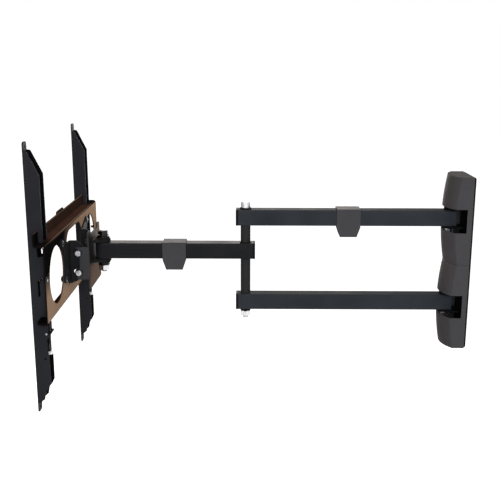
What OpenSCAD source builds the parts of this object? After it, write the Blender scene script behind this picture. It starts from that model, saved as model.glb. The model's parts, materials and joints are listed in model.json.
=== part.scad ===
// Full motion wall mount for a flat screen television.
// Frame: the wall is the plane Y = 0 and the room lies towards -Y, Z is up, and the
// origin is the middle of the wall plate's back face. All sizes are millimetres.
// Lengths called "reach" or "depth" are measured out from the wall, along -Y.

/* [Wall plate] */
// Width of the steel wall plate
plate_w = 87.5; // [80:0.5:120]
// Height of the steel wall plate
plate_h = 327; // [300:1:420]
// Thickness of the steel wall plate
plate_t = 3; // [2.5:0.5:5]
// Radius of the bolt holes in the wall plate
wall_hole_r = 4.5; // [3.5:0.25:5.5]
// Distance between the two outer columns of wall bolt holes
wall_hole_dx = 56; // [46:1:60]
// Distance between the top and bottom rows of wall bolt holes
wall_hole_dz = 284; // [270:1:294]

/* [Covers] */
// Outer width of the plastic covers
cover_w = 88.5; // [84:0.5:130]
// Height of the two covers together
cover_h = 329; // [310:1:430]
// Wall of the covers
cover_wall = 2.2; // [1.6:0.2:3.2]
// Reach of the crown of a cover at its arm
cover_crown = 48.8; // [46:0.1:60]
// Radius of the front's bow from top to bottom
cover_bow_r = 455; // [300:5:900]
// Radius of the crowned front in plan
cover_crown_r = 71; // [60:1:120]
// Height of the gap in a cover for its arm
cover_gap_h = 44.6; // [40:0.2:56]
// Reach at which the gap ends towards the wall
cover_gap_reach = 12; // [8:0.5:18]
// Seam left between the two covers
cover_seam = 0.4; // [0.2:0.1:1]

/* [Arms] */
// Outer side of the square arm tube
tube = 30; // [25:0.5:34]
// Wall of the square arm tube
tube_wall = 2; // [1.5:0.25:3]
// Outer corner radius of the square arm tube
tube_corner = 3; // [2.5:0.25:4]
// Height of the upper arm above the middle, and of the lower arm below it
arm_z = 82.5; // [76:0.5:92]
// Height of the front arm above the middle
front_arm_z = 17.7; // [0:0.1:28]
// Reach of the shoulder axis from the wall
shoulder_reach = 35; // [33:0.5:37]
// Distance from the shoulder axis to the elbow axis
inner_len = 387; // [320:1:450]
// Distance from the elbow axis to the swivel axis
front_len = 272.5; // [200:0.5:360]
// Length of tube beyond the shoulder axis
shoulder_tail = 10.8; // [9.5:0.1:14]
// Length of tube beyond the elbow axis
elbow_tail = 14.4; // [13:0.2:22]
// Thickness of the flange of an end cap
cap_flange = 4; // [2:0.5:6]
// How far the flange of an end cap stands proud of the tube
cap_proud = 0.3; // [0.1:0.1:0.8]

/* [Shoulder] */
// Radius of the shoulder bolts
shoulder_bolt_r = 5; // [4:0.5:6]
// Thickness of the ears of a shoulder bracket
shoulder_ear_t = 4; // [3:0.5:5]
// Radius of the round end of a shoulder ear
shoulder_ear_r = 11; // [9.5:0.5:13]
// Outer radius of the shoulder bushes
shoulder_bush_r = 8; // [7:0.25:8.5]

/* [Elbow] */
// Radius of the elbow post and of the swivel bolt
post_r = 6; // [5:0.5:7]
// Outer radius of the spacer sleeves on the elbow post
sleeve_r = 9.4; // [8.5:0.1:12]
// Outer radius of the bushes on the elbow post and the swivel bolt
elbow_bush_r = 9; // [8:0.25:10]

/* [Swivel head] */
// Distance from the swivel axis to the wall side of the yoke plate
yoke_gap = 17; // [16.5:0.5:24]
// Thickness of the yoke plate and its flanges
yoke_t = 3; // [2.5:0.5:5]
// Inner radius of the bends of the yoke and of the tilt brackets
yoke_bend = 2; // [1:0.5:3]
// Width of the yoke over its flanges
yoke_w = 108; // [96:1:116]
// Height of the yoke plate
yoke_h = 109; // [100:1:124]
// Height of the middle of the yoke plate
yoke_z = 7.5; // [2:0.5:12]
// Height of the flanges of the yoke
yoke_flange_h = 62; // [58:1:70]
// Thickness of the two swivel ears
ear_t = 5; // [4:0.5:7]
// Radius of the round end of a swivel ear
ear_r = 14; // [13:0.5:16]
// Radius of the welded collar on a swivel ear
ear_boss_r = 12; // [10.5:0.5:14]
// Height of the welded collar on a swivel ear
ear_boss_h = 3.6; // [2:0.2:6]
// Outer radius of the spring washers on the swivel bolt
spring_washer_r = 11; // [9.5:0.5:13]
// Sheet thickness of a spring washer
spring_washer_t = 1.4; // [1:0.1:1.6]
// Height of the cone of a spring washer
spring_washer_cone = 0.8; // [0.4:0.1:1]

/* [Tilt] */
// Distance from the swivel axis to the tilt axis
tilt_reach = 37; // [35:0.5:42]
// Height of the tilt axis
tilt_z = 23.5; // [16:0.5:28]
// Distance from the tilt axis down to the lock bolt
lock_drop = 37.5; // [34:0.5:42]
// Radius of the tilt bolts
tilt_bolt_r = 4; // [3:0.5:5]
// Largest tilt with the top of the screen towards the room
tilt_down = 10; // [5:1:10]
// Largest tilt the other way
tilt_up = 5; // [0:1:5]
// Thickness of the two tilt brackets
tilt_t = 3; // [2.5:0.5:4]
// Height of a tilt bracket's flange above the tilt axis
tilt_rise = 22.5; // [18:0.5:26]
// Radius of the lugs of a tilt bracket round its rail bolts
tilt_lug_r = 8; // [7:0.5:9]

/* [Rail] */
// Length of the rail
rail_w = 445; // [420:1:560]
// Height of the web of the rail
rail_h = 136.4; // [130:0.1:150]
// Height of the middle of the rail
rail_z = 6.4; // [2:0.1:10]
// Distance from the swivel axis to the wall side of the rail's web
rail_reach = 55.5; // [54:0.5:62]
// Thickness of the rail's sheet
rail_t = 2.5; // [2:0.25:2.75]
// Inner radius of the bends of the rail
rail_bend = 3; // [1.5:0.5:3]
// Depth of the top and bottom flanges of the rail
rail_flange = 19; // [17:0.5:20]
// Height of the upturned lip above the rail's top
lip_up = 21.4; // [16:0.1:26]
// Height of the upturned inner lip along the rail's bottom
lower_lip = 6.8; // [6:0.2:12]
// Radius of the two round windows in the rail
window_r = 49; // [36:0.5:50]
// Distance from the middle to each round window
window_x = 145.5; // [142:0.5:152]
// Height of the round windows above the middle of the rail
window_rise = 3.4; // [0:0.1:6]
// Width of the web left between the middle window and a round window
web_post_w = 30.5; // [28:0.5:34]
// Height of the web left above the middle window
web_head_h = 11; // [8:0.5:14]
// Height of the web left below the middle window
web_sill_h = 27; // [22:0.5:30]
// Radius of the upper corners of the middle window
web_corner_r = 30; // [20:1:40]
// Distance from the edge of a round window to the bolts of a tilt bracket
rail_bolt_edge = 9; // [8:0.5:12]
// Length of the raised tab on the upper lip
tab_w = 50; // [30:1:80]
// Height of the raised tab above the lip
tab_h = 5; // [3:0.5:8]

/* [TV brackets] */
// Length of a TV bracket from tip to tip
bracket_h = 475.4; // [440:0.1:560]
// Height of the middle of the TV brackets
bracket_z = 4.5; // [0:0.1:8]
// Width of a TV bracket
bracket_w = 28; // [24:0.5:34]
// Depth of a TV bracket
bracket_d = 26.3; // [25.5:0.1:28]
// Sheet thickness of a TV bracket
bracket_t = 2; // [1.5:0.25:2.5]
// Distance from the middle to the middle of each TV bracket
bracket_x = 181.2; // [120:0.1:200]
// Distance from the swivel axis to the screen side of the TV brackets
screen_reach = 90.5; // [90:0.5:92]
// Inner radius of the bends of a TV bracket
bracket_bend = 2; // [1:0.5:3]
// Radius of the screen bolt holes
screen_hole_r = 4.2; // [3:0.1:4.5]
// Room below the rail's lower flange in the flanges of a TV bracket
lower_notch = 9; // [6:0.5:14]
// Distance from the rail's bottom down to the bridge for the lock screw
bridge_drop = 25.5; // [22:0.5:34]
// Distance from the bridge down to the head of the lock screw
lock_head_drop = 34; // [30:1:40]
// Radius of the head of the lock screw
lock_head_r = 5.5; // [4.5:0.5:7]

/* [Cable clips] */
// Width of a cable clip along its arm
clip_w = 44.5; // [30:0.5:60]
// Width of a cable clip at its lower edge
clip_foot_w = 31.5; // [20:0.5:44]
// Wall of a cable clip
clip_wall = 2.3; // [1.5:0.1:3]
// How far a cable clip hangs below its arm
clip_drop = 20.6; // [14:0.2:30]
// Reach of the cable clip on the upper arm
upper_clip_reach = 227.7; // [120:0.1:300]
// Distance from the elbow axis to the cable clip on the front arm
front_clip_at = 135.6; // [60:0.1:200]

/* [Clearances] */
// Radial play of a bolt in a bush that turns on it
running_play = 0.05; // [0.02:0.01:0.1]
// Radial play of a bolt in a clearance hole
bolt_play = 0.25; // [0.1:0.05:0.5]
// Gap between sliding or neighbouring pieces
slide_gap = 0.3; // [0.2:0.05:0.5]
// Thickness of the nylon thrust washers at the shoulder
shoulder_washer_t = 1; // [0.5:0.1:2]
// Thickness of the nylon thrust washers at the elbow and the swivel
swivel_washer_t = 1.5; // [0.5:0.1:2.5]
// Thickness of the friction discs at the tilt bolts
friction_disc_t = 1; // [0.5:0.1:1.5]
// Outer radius of the friction discs
friction_disc_r = 6.5; // [6:0.1:6.6]

/* [Hidden] */
$fn = 48;

eps = 0.01;
steel_black = [0.10, 0.10, 0.11];
steel_arm = [0.13, 0.14, 0.16];
plastic_grey = [0.27, 0.27, 0.29];
plastic_black = [0.08, 0.08, 0.08];
rail_bronze = [0.45, 0.36, 0.29];
zinc = [0.78, 0.78, 0.80];
nylon = [0.85, 0.84, 0.80];

elbow_reach = shoulder_reach + inner_len;
swivel_reach = elbow_reach + front_len;
tilt_y = -(swivel_reach + tilt_reach);
rail_y = -(swivel_reach + rail_reach);
screen_y = -(swivel_reach + screen_reach);
rail_top = rail_z + rail_h / 2;
rail_bottom = rail_z - rail_h / 2;
window_z = rail_z + window_rise;
cover_top = cover_h / 2;

// Hexagon sizes: width across flats and height for a bolt of radius r
function hex_flats(r) = r * 3;
function head_h(r) = r * 1.3;
function nut_h(r) = r * 1.7;

// ---- shared shapes --------------------------------------------------------------------

// Rectangle with round corners, centred
module round_rect(w, h, r) {
    square([w - 2 * r, h], center = true);
    square([w, h - 2 * r], center = true);
    for (x = [-1, 1], y = [-1, 1])
        translate([x * (w / 2 - r), y * (h / 2 - r)]) circle(r);
}

// Upright slot outline, length over its round ends
module slot_2d(r, len) {
    square([2 * r, len - 2 * r], center = true);
    for (s = [-1, 1]) translate([0, s * (len / 2 - r)]) circle(r);
}

// Rectangle standing on y = 0 with its two lower corners round
module cup_2d(w, d, r) {
    translate([-w / 2, r]) square([w, d - r]);
    translate([r - w / 2, 0]) square([w - 2 * r, r]);
    for (s = [-1, 1]) translate([s * (w / 2 - r), r]) circle(r);
}

// Quarter of a ring from radius r to r + t, on the side of x > 0 and y > 0
module bend_2d(r, t) {
    intersection() {
        difference() {
            circle(r + t);
            circle(r);
        }
        square(r + t + 1);
    }
}

// What a round edge of radius r takes off a square corner whose tip is at the origin
module corner_2d(r) {
    translate([-r, -r]) difference() {
        square(r + 1);
        circle(r);
    }
}

// Hexagonal prism with its top corners turned off
module hex_prism(flats, h) {
    intersection() {
        cylinder(d = flats / cos(30), h = h, $fn = 6);
        cylinder(r1 = flats * 0.5 + h, r2 = flats * 0.49, h = h + eps);
    }
}

// Ring standing on z = 0
module ring(r_out, r_in, h) {
    difference() {
        cylinder(r = r_out, h = h);
        translate([0, 0, -eps]) cylinder(r = r_in, h = h + 2 * eps);
    }
}

// Lays a drawing made in x and y upright, facing the wall, with its back at reach d.
// The drawing's x stays X, its y becomes Z and it is t thick out from the wall.
module upright(d, t) {
    translate([0, -d, 0]) rotate([90, 0, 0]) linear_extrude(t) children();
}

// Draws a side view, whose x is Y and whose y is Z, and makes it w wide about X = x0
module side_view(x0, w) {
    translate([x0 - w / 2, 0, 0]) rotate([90, 0, 90]) linear_extrude(w) children();
}

// Square tube from reach a to reach b with its middle at height z
module square_tube(a, b, z) {
    translate([0, -a, z]) rotate([90, 0, 0]) linear_extrude(b - a) difference() {
        round_rect(tube, tube, tube_corner);
        round_rect(tube - 2 * tube_wall, tube - 2 * tube_wall, tube_corner - tube_wall);
    }
}

// Upright bore of radius r through a tube at a reach and a height
module tube_bore(reach, z, r) {
    translate([0, -reach, z - tube / 2 - 1]) cylinder(r = r, h = tube + 2);
}

// Plastic end cap; its flange lies on the tube's end at reach a and points in direction s
module end_cap(a, z, s) {
    inner = tube - 2 * tube_wall - 0.4;
    hollow = inner - 3.2;
    spigot = elbow_tail - elbow_bush_r - 1;
    side = tube + 2 * cap_proud;
    translate([0, -a, z]) rotate([90 * s, 0, 0]) {
        linear_extrude(cap_flange) round_rect(side, side, tube_corner + cap_proud);
        translate([0, 0, -spigot]) linear_extrude(spigot + eps) difference() {
            round_rect(inner, inner, 1);
            round_rect(hollow, hollow, 1);
        }
    }
}

// Snap-on cable clip hung on a tube at a reach and a height
module cable_clip(reach, z) {
    half = tube / 2 + 0.2;
    out = half + clip_wall;
    foot = -tube / 2 - clip_drop;
    ledge = 1.8;
    slit = 4;
    translate([0, -reach, z]) intersection() {
        rotate([90, 0, 0]) linear_extrude(clip_w, center = true) difference() {
            translate([-out, foot]) square([2 * out, out - foot]);
            // room for the tube
            translate([-half, -half]) square([2 * half, 2 * half]);
            // cable channel below the tube
            translate([-half + ledge, foot + clip_wall]) square([2 * (half - ledge), clip_drop + 1]);
            translate([-half, foot + clip_wall]) square([2 * half, clip_drop - clip_wall - 2.2]);
            // slit through which cables are pushed in
            translate([-out + 2 * slit, foot - 1]) square([slit, clip_wall + 2]);
        }
        side_view(0, 3 * tube) polygon([
            [-clip_w / 2, out], [clip_w / 2, out], [clip_w / 2, -tube / 2 - 2],
            [clip_foot_w / 2, foot], [-clip_foot_w / 2, foot], [-clip_w / 2, -tube / 2 - 2]]);
    }
}

// ---- wall unit ------------------------------------------------------------------------

module wall_plate() {
    color(steel_black) difference() {
        upright(0, plate_t) difference() {
            round_rect(plate_w, plate_h, 4);
            for (x = [-1, 1], z = [-1, 1])
                translate([x * wall_hole_dx / 2, z * wall_hole_dz / 2]) circle(wall_hole_r);
            for (z = [-1, 1]) translate([0, z * wall_hole_dz / 2]) circle(wall_hole_r);
            // slots for the snap tabs of the covers
            for (z = snap_heights())
                translate([0, z]) square([snap_w + 1, snap_t + 0.6], center = true);
        }
    }
}

snap_w = 12;
snap_t = 2.4;
function snap_heights() = [cover_top - 7, 6, -6, -cover_top + 7];

// Bent steel bracket at one arm: a back and two ears with the bolt holes
module shoulder_bracket(z) {
    gap = tube / 2 + shoulder_washer_t;
    back_w = 2 * shoulder_ear_r + 14;
    translate([0, 0, z]) {
        upright(plate_t, shoulder_ear_t) square([back_w, 2 * gap + 2 * shoulder_ear_t], center = true);
        for (s = [-1, 1]) translate([0, 0, s > 0 ? gap : -gap - shoulder_ear_t])
            linear_extrude(shoulder_ear_t) difference() {
                union() {
                    polygon([[-back_w / 2, -plate_t - shoulder_ear_t / 2],
                        [back_w / 2, -plate_t - shoulder_ear_t / 2],
                        [shoulder_ear_r, -shoulder_reach], [-shoulder_ear_r, -shoulder_reach]]);
                    translate([0, -shoulder_reach]) circle(shoulder_ear_r);
                }
                translate([0, -shoulder_reach]) circle(shoulder_bolt_r + running_play);
            }
    }
}

module upper_shoulder_bracket() { color(steel_black) shoulder_bracket(arm_z); }
module lower_shoulder_bracket() { color(steel_black) shoulder_bracket(-arm_z); }

// Closed form of one cover, drawn in by g from its outer faces. The front is a slice of a
// barrel: an arc in plan, turned about a level axis behind the wall so that it also bows
// from top to bottom.
module cover_form(g) {
    bow = cover_bow_r - g;
    half = cover_w / 2 - g;
    low = cover_seam / 2 + g;
    swing = asin(cover_h / 4 / cover_bow_r) + 4;
    intersection() {
        translate([0, cover_bow_r - cover_crown, cover_h / 4])
            rotate([0, -90, 0]) rotate([0, 0, -90 - swing])
                rotate_extrude(angle = 2 * swing, $fn = 360) intersection() {
                    translate([bow - cover_crown_r + g, 0]) circle(cover_crown_r - g, $fn = 96);
                    translate([bow - 1.5 * cover_crown, -half])
                        square([1.5 * cover_crown + 1, 2 * half]);
                }
        translate([-half, -cover_crown - 1, low])
            cube([2 * half, cover_crown + 1 - plate_t + (g > 0 ? 1 : 0), cover_h / 2 - g - low]);
    }
}

// One plastic cover, drawn for the upper place
module cover_shell() {
    difference() {
        cover_form(0);
        cover_form(cover_wall);
        // gap in which the arm swings from side to side
        translate([-cover_w, -cover_crown - 20, arm_z - cover_gap_h / 2])
            cube([2 * cover_w, cover_crown + 20 - cover_gap_reach, cover_gap_h]);
    }
    // snap tabs that hold the cover in the slots of the wall plate
    for (z = [cover_top - 7, 6]) {
        inward = z > cover_top / 2 ? cover_top - cover_wall / 2 - z : z - cover_wall / 2;
        translate([-snap_w / 2, -plate_t - 12, z - snap_t / 2]) cube([snap_w, plate_t + 11.5, snap_t]);
        translate([-snap_w / 2, -plate_t - 12, z > cover_top / 2 ? z : z - inward])
            cube([snap_w, 4, inward]);
    }
}

module upper_cover() { color(plastic_grey) cover_shell(); }
module lower_cover() { color(plastic_grey) mirror([0, 0, 1]) cover_shell(); }

module at_shoulders() { for (z = [-arm_z, arm_z]) translate([0, -shoulder_reach, z]) children(); }

module shoulder_bolts() {
    grip = tube / 2 + shoulder_washer_t + shoulder_ear_t;
    color(zinc) at_shoulders() {
        translate([0, 0, -grip - nut_h(shoulder_bolt_r) - 2])
            cylinder(r = shoulder_bolt_r, h = 2 * grip + nut_h(shoulder_bolt_r) + 2 + eps);
        translate([0, 0, grip]) hex_prism(hex_flats(shoulder_bolt_r) + 1, head_h(shoulder_bolt_r));
    }
}

module shoulder_nuts() {
    grip = tube / 2 + shoulder_washer_t + shoulder_ear_t;
    color(zinc) at_shoulders() translate([0, 0, -grip]) mirror([0, 0, 1]) difference() {
        hex_prism(hex_flats(shoulder_bolt_r) + 1, nut_h(shoulder_bolt_r));
        translate([0, 0, -1])
            cylinder(r = shoulder_bolt_r + running_play, h = nut_h(shoulder_bolt_r) + 2);
    }
}

module shoulder_washers() {
    color(nylon) at_shoulders() for (z = [tube / 2, -tube / 2 - shoulder_washer_t])
        translate([0, 0, z])
            ring(shoulder_ear_r - 0.5, shoulder_bolt_r + running_play, shoulder_washer_t);
}

// ---- inner arms -----------------------------------------------------------------------

// One of the two parallel arms, closed by a welded plate at its wall end
module inner_arm_tube(z) {
    start = shoulder_reach - shoulder_tail;
    difference() {
        union() {
            square_tube(start, elbow_reach + elbow_tail, z);
            translate([0, 0, z]) upright(start, tube_wall) round_rect(tube, tube, tube_corner);
        }
        tube_bore(shoulder_reach, z, shoulder_bush_r);
        tube_bore(elbow_reach, z, elbow_bush_r);
    }
}

module upper_arm_tube() { color(steel_arm) inner_arm_tube(arm_z); }
module lower_arm_tube() { color(steel_arm) inner_arm_tube(-arm_z); }

module shoulder_bushes() {
    color(zinc) at_shoulders() translate([0, 0, -tube / 2])
        ring(shoulder_bush_r - running_play, shoulder_bolt_r + running_play, tube);
}

module upper_arm_cap() { color(plastic_black) end_cap(elbow_reach + elbow_tail, arm_z, 1); }
module lower_arm_cap() { color(plastic_black) end_cap(elbow_reach + elbow_tail, -arm_z, 1); }

module at_elbow(z) { translate([0, -elbow_reach, z]) children(); }

module inner_elbow_bushes() {
    color(zinc) for (z = [-arm_z, arm_z]) at_elbow(z - tube / 2)
        ring(elbow_bush_r - running_play, post_r + running_play, tube);
}

end_washer_t = 2.5;
end_spacer_t = 5;

module elbow_end_washers() {
    color(plastic_black) {
        at_elbow(arm_z + tube / 2) ring(sleeve_r + 1.5, post_r + running_play, end_washer_t);
        at_elbow(-arm_z - tube / 2 - end_spacer_t)
            ring(sleeve_r + 0.5, post_r + running_play, end_spacer_t);
    }
}

module elbow_post() {
    top = arm_z + tube / 2 + end_washer_t;
    bottom = -arm_z - tube / 2 - end_spacer_t - nut_h(post_r) - 5;
    head = 2 * post_r;
    color(zinc) difference() {
        union() {
            at_elbow(bottom) cylinder(r = post_r, h = top - bottom + eps);
            at_elbow(top) cylinder(r = 1.5 * post_r, h = head);
        }
        at_elbow(top + head / 2) cylinder(d = 1.65 * post_r / cos(30), h = head, $fn = 6);
    }
}

module elbow_nut() {
    color(zinc) at_elbow(-arm_z - tube / 2 - end_spacer_t) mirror([0, 0, 1]) difference() {
        hex_prism(hex_flats(post_r), nut_h(post_r));
        translate([0, 0, -1]) cylinder(r = post_r + running_play, h = nut_h(post_r) + 2);
    }
}

// Spacer sleeve on the elbow post between heights a and b
module post_sleeve(a, b) { at_elbow(a) ring(sleeve_r, post_r + running_play, b - a); }

module upper_post_sleeve() {
    color(steel_black) post_sleeve(front_arm_z + tube / 2 + swivel_washer_t, arm_z - tube / 2);
}

module lower_post_sleeve() {
    color(steel_black) post_sleeve(-arm_z + tube / 2, front_arm_z - tube / 2 - swivel_washer_t);
}

module elbow_thrust_washers() {
    color(nylon) for (z = [tube / 2, -tube / 2 - swivel_washer_t]) at_elbow(front_arm_z + z)
        ring(sleeve_r + 1.6, post_r + running_play, swivel_washer_t);
}

module upper_arm_cable_clip() { color(plastic_grey) cable_clip(upper_clip_reach, arm_z); }

// ---- front arm ------------------------------------------------------------------------

// Square tube whose swivel end is closed by a half-round nose
module front_arm_tube() {
    inner = tube - 2 * tube_wall;
    color(steel_arm) difference() {
        union() {
            square_tube(elbow_reach - elbow_tail, swivel_reach, front_arm_z);
            intersection() {
                translate([0, -swivel_reach, front_arm_z - tube / 2]) difference() {
                    cylinder(r = tube / 2, h = tube);
                    translate([0, 0, tube_wall]) cylinder(r = inner / 2, h = inner);
                }
                translate([-tube, -swivel_reach - tube, front_arm_z - tube])
                    cube([2 * tube, tube, 2 * tube]);
            }
        }
        tube_bore(elbow_reach, front_arm_z, elbow_bush_r);
        tube_bore(swivel_reach, front_arm_z, elbow_bush_r);
    }
}

module front_arm_cap() { color(plastic_black) end_cap(elbow_reach - elbow_tail, front_arm_z, -1); }

// Steel bush in the front arm, at a reach
module front_bush(reach) {
    translate([0, -reach, front_arm_z - tube / 2])
        ring(elbow_bush_r - running_play, post_r + running_play, tube);
}

module front_elbow_bush() { color(zinc) front_bush(elbow_reach); }
module swivel_bush() { color(zinc) front_bush(swivel_reach); }

module front_arm_cable_clip() {
    color(plastic_grey) cable_clip(elbow_reach + front_clip_at, front_arm_z);
}

// ---- swivel head ----------------------------------------------------------------------

yoke_y = -(swivel_reach + yoke_gap);
yoke_flange_z = yoke_z - 4.5;
yoke_flange_low = yoke_flange_z - yoke_flange_h / 2;
yoke_flange_d = 18.5;

// Outline of a yoke flange seen from the side: straight at the plate, with a round lug at
// each bolt
module yoke_flange_2d() {
    low = tilt_z - lock_drop;
    lug = 8;
    bottom = yoke_flange_low;
    top = bottom + yoke_flange_h;
    translate([yoke_y - yoke_flange_d, bottom]) square([yoke_flange_d, yoke_flange_h]);
    for (z = [tilt_z, low]) translate([tilt_y, z]) circle(lug);
    translate([tilt_y - lug / 2, tilt_z]) square([lug, top - tilt_z]);
    translate([tilt_y - lug / 2, bottom]) square([lug, low - bottom]);
}

// Corner shapes of radius r along both bends of the yoke, set in by g from its outer faces
module yoke_corners(g, r) {
    for (m = [0, 1]) mirror([m, 0, 0]) translate([yoke_w / 2 - g, yoke_y - g, yoke_flange_low])
        linear_extrude(yoke_flange_h) corner_2d(r);
}

// Plate behind the swivel with two flanges that hold the tilt bolts
module yoke_bracket() {
    color(steel_black) difference() {
        union() {
            translate([0, 0, yoke_z]) upright(-yoke_y, yoke_t) round_rect(yoke_w, yoke_h, 5);
            for (s = [-1, 1]) side_view(s * (yoke_w / 2 - yoke_t / 2), yoke_t) yoke_flange_2d();
            yoke_corners(yoke_t, yoke_bend);
        }
        yoke_corners(0, yoke_bend + yoke_t);
        for (z = [tilt_z, tilt_z - lock_drop]) translate([-yoke_w, tilt_y, z]) rotate([0, 90, 0])
            cylinder(r = tilt_bolt_r + running_play, h = 2 * yoke_w);
    }
}

// Ear welded to the yoke plate, with a welded collar on its outer face
module swivel_ear() {
    gap = tube / 2 + swivel_washer_t;
    difference() {
        union() {
            translate([0, 0, gap]) linear_extrude(ear_t) {
                circle(ear_r);
                polygon([[-ear_r, 0], [ear_r, 0], [ear_r + 9, -yoke_gap], [-ear_r - 9, -yoke_gap]]);
            }
            translate([0, 0, gap + ear_t - eps]) cylinder(r = ear_boss_r, h = ear_boss_h + eps);
        }
        translate([0, 0, gap - 1]) cylinder(r = post_r + running_play, h = ear_t + ear_boss_h + 2);
    }
}

module at_swivel() { translate([0, -swivel_reach, front_arm_z]) children(); }
module upper_swivel_ear() { color(steel_black) at_swivel() swivel_ear(); }
module lower_swivel_ear() { color(steel_black) at_swivel() mirror([0, 0, 1]) swivel_ear(); }

spring_stack_h = 2 * (spring_washer_t + spring_washer_cone) + running_play;
ear_face = tube / 2 + swivel_washer_t + ear_t + ear_boss_h;
swivel_grip = ear_face + spring_stack_h;

module swivel_bolt() {
    color(zinc) at_swivel() {
        translate([0, 0, -swivel_grip - nut_h(post_r) - 3])
            cylinder(r = post_r, h = 2 * swivel_grip + nut_h(post_r) + 3 + eps);
        translate([0, 0, swivel_grip]) hex_prism(hex_flats(post_r), head_h(post_r));
    }
}

module swivel_nut() {
    color(zinc) at_swivel() translate([0, 0, -swivel_grip]) mirror([0, 0, 1]) difference() {
        hex_prism(hex_flats(post_r), nut_h(post_r));
        translate([0, 0, -1]) cylinder(r = post_r + running_play, h = nut_h(post_r) + 2);
    }
}

module swivel_thrust_washers() {
    color(nylon) at_swivel() for (z = [tube / 2, -tube / 2 - swivel_washer_t])
        translate([0, 0, z]) ring(ear_r - 1, post_r + running_play, swivel_washer_t);
}

// Coned spring washer standing on z = 0 on its rim
module spring_washer() {
    bore = post_r + running_play;
    rotate_extrude() polygon([[bore, spring_washer_cone], [spring_washer_r, 0],
        [spring_washer_r, spring_washer_t], [bore, spring_washer_cone + spring_washer_t]]);
}

// Two spring washers under the head and two under the nut, crown to crown
module swivel_spring_washers() {
    color(zinc) at_swivel() for (m = [0, 1]) mirror([0, 0, m]) translate([0, 0, ear_face]) {
        spring_washer();
        translate([0, 0, spring_stack_h]) mirror([0, 0, 1]) spring_washer();
    }
}

// ---- tilt -----------------------------------------------------------------------------

// Places a drawing that points along +Z so that it points outwards at both ends of the
// tilt bolts at height z, starting at distance x from the middle
module at_tilt(x, z) {
    for (s = [-1, 1]) translate([s * x, tilt_y, z]) rotate([0, s * 90, 0]) children();
}

disc_x = yoke_w / 2 - yoke_t - friction_disc_t;
bracket_in_x = disc_x - tilt_t;

// Short flanged hexagon bolts at height z, both sides
module tilt_bolts(z) {
    shank = yoke_t + friction_disc_t + tilt_t + nut_h(tilt_bolt_r) + 1;
    collar_t = 1.2;
    at_tilt(yoke_w / 2 - shank, z) cylinder(r = tilt_bolt_r, h = shank + eps);
    at_tilt(yoke_w / 2, z) {
        cylinder(r = hex_flats(tilt_bolt_r) / 2 + 1.4, h = collar_t);
        translate([0, 0, collar_t - eps]) hex_prism(hex_flats(tilt_bolt_r) + 1, head_h(tilt_bolt_r));
    }
}

module tilt_pivot_bolts() { color(zinc) tilt_bolts(tilt_z); }
module tilt_lock_bolts() { color(zinc) tilt_bolts(tilt_z - lock_drop); }

module tilt_nuts() {
    color(zinc) for (z = [tilt_z, tilt_z - lock_drop])
        at_tilt(bracket_in_x - nut_h(tilt_bolt_r) - slide_gap, z) difference() {
            cylinder(d = (hex_flats(tilt_bolt_r) + 1) / cos(30), h = nut_h(tilt_bolt_r), $fn = 6);
            translate([0, 0, -1]) cylinder(r = tilt_bolt_r + running_play, h = nut_h(tilt_bolt_r) + 2);
        }
}

module friction_discs() {
    color(nylon) for (z = [tilt_z, tilt_z - lock_drop]) at_tilt(disc_x, z)
        ring(friction_disc_r, tilt_bolt_r + running_play, friction_disc_t);
}

foot_in = window_x - window_r - web_post_w;
foot_low = rail_bottom + web_sill_h - 2;
// Rail bolts of the right side, on a ring about the round window: [X, Z]
rail_bolt_spots = [for (a = [132, 206]) [window_x, window_z]
    + (window_r + rail_bolt_edge) * [cos(a), sin(a)]];

// Side view of a tilt bracket's flange: it narrows downwards to swing clear of the yoke
module tilt_flange_2d() {
    low = tilt_z - lock_drop;
    top = tilt_z + tilt_rise;
    polygon([[rail_y, top], [tilt_y - 3, top], [tilt_y + 8, tilt_z + 13],
        [tilt_y + 11, tilt_z], [tilt_y + 7.5, low + 14], [tilt_y + 4.5, low - 10],
        [tilt_y - 4, foot_low + 6], [rail_y, foot_low]]);
}

// Curved slot for the lock bolt, about the tilt axis, as wide as the bolt and its play
module lock_slot_2d() {
    r = tilt_bolt_r + bolt_play;
    end_r = r + 0.2;
    reach = lock_drop + 3 * r;
    translate([tilt_y, tilt_z]) {
        intersection() {
            difference() {
                circle(lock_drop + r, $fn = 96);
                circle(lock_drop - r, $fn = 96);
            }
            polygon([[0, 0], [-reach * sin(tilt_down), -reach * cos(tilt_down)],
                [reach * sin(tilt_up), -reach * cos(tilt_up)]]);
        }
        // drilled ends, a little wider than the slot
        for (a = [-tilt_down, tilt_up]) rotate(a) translate([0, -lock_drop]) circle(end_r);
    }
}

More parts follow.
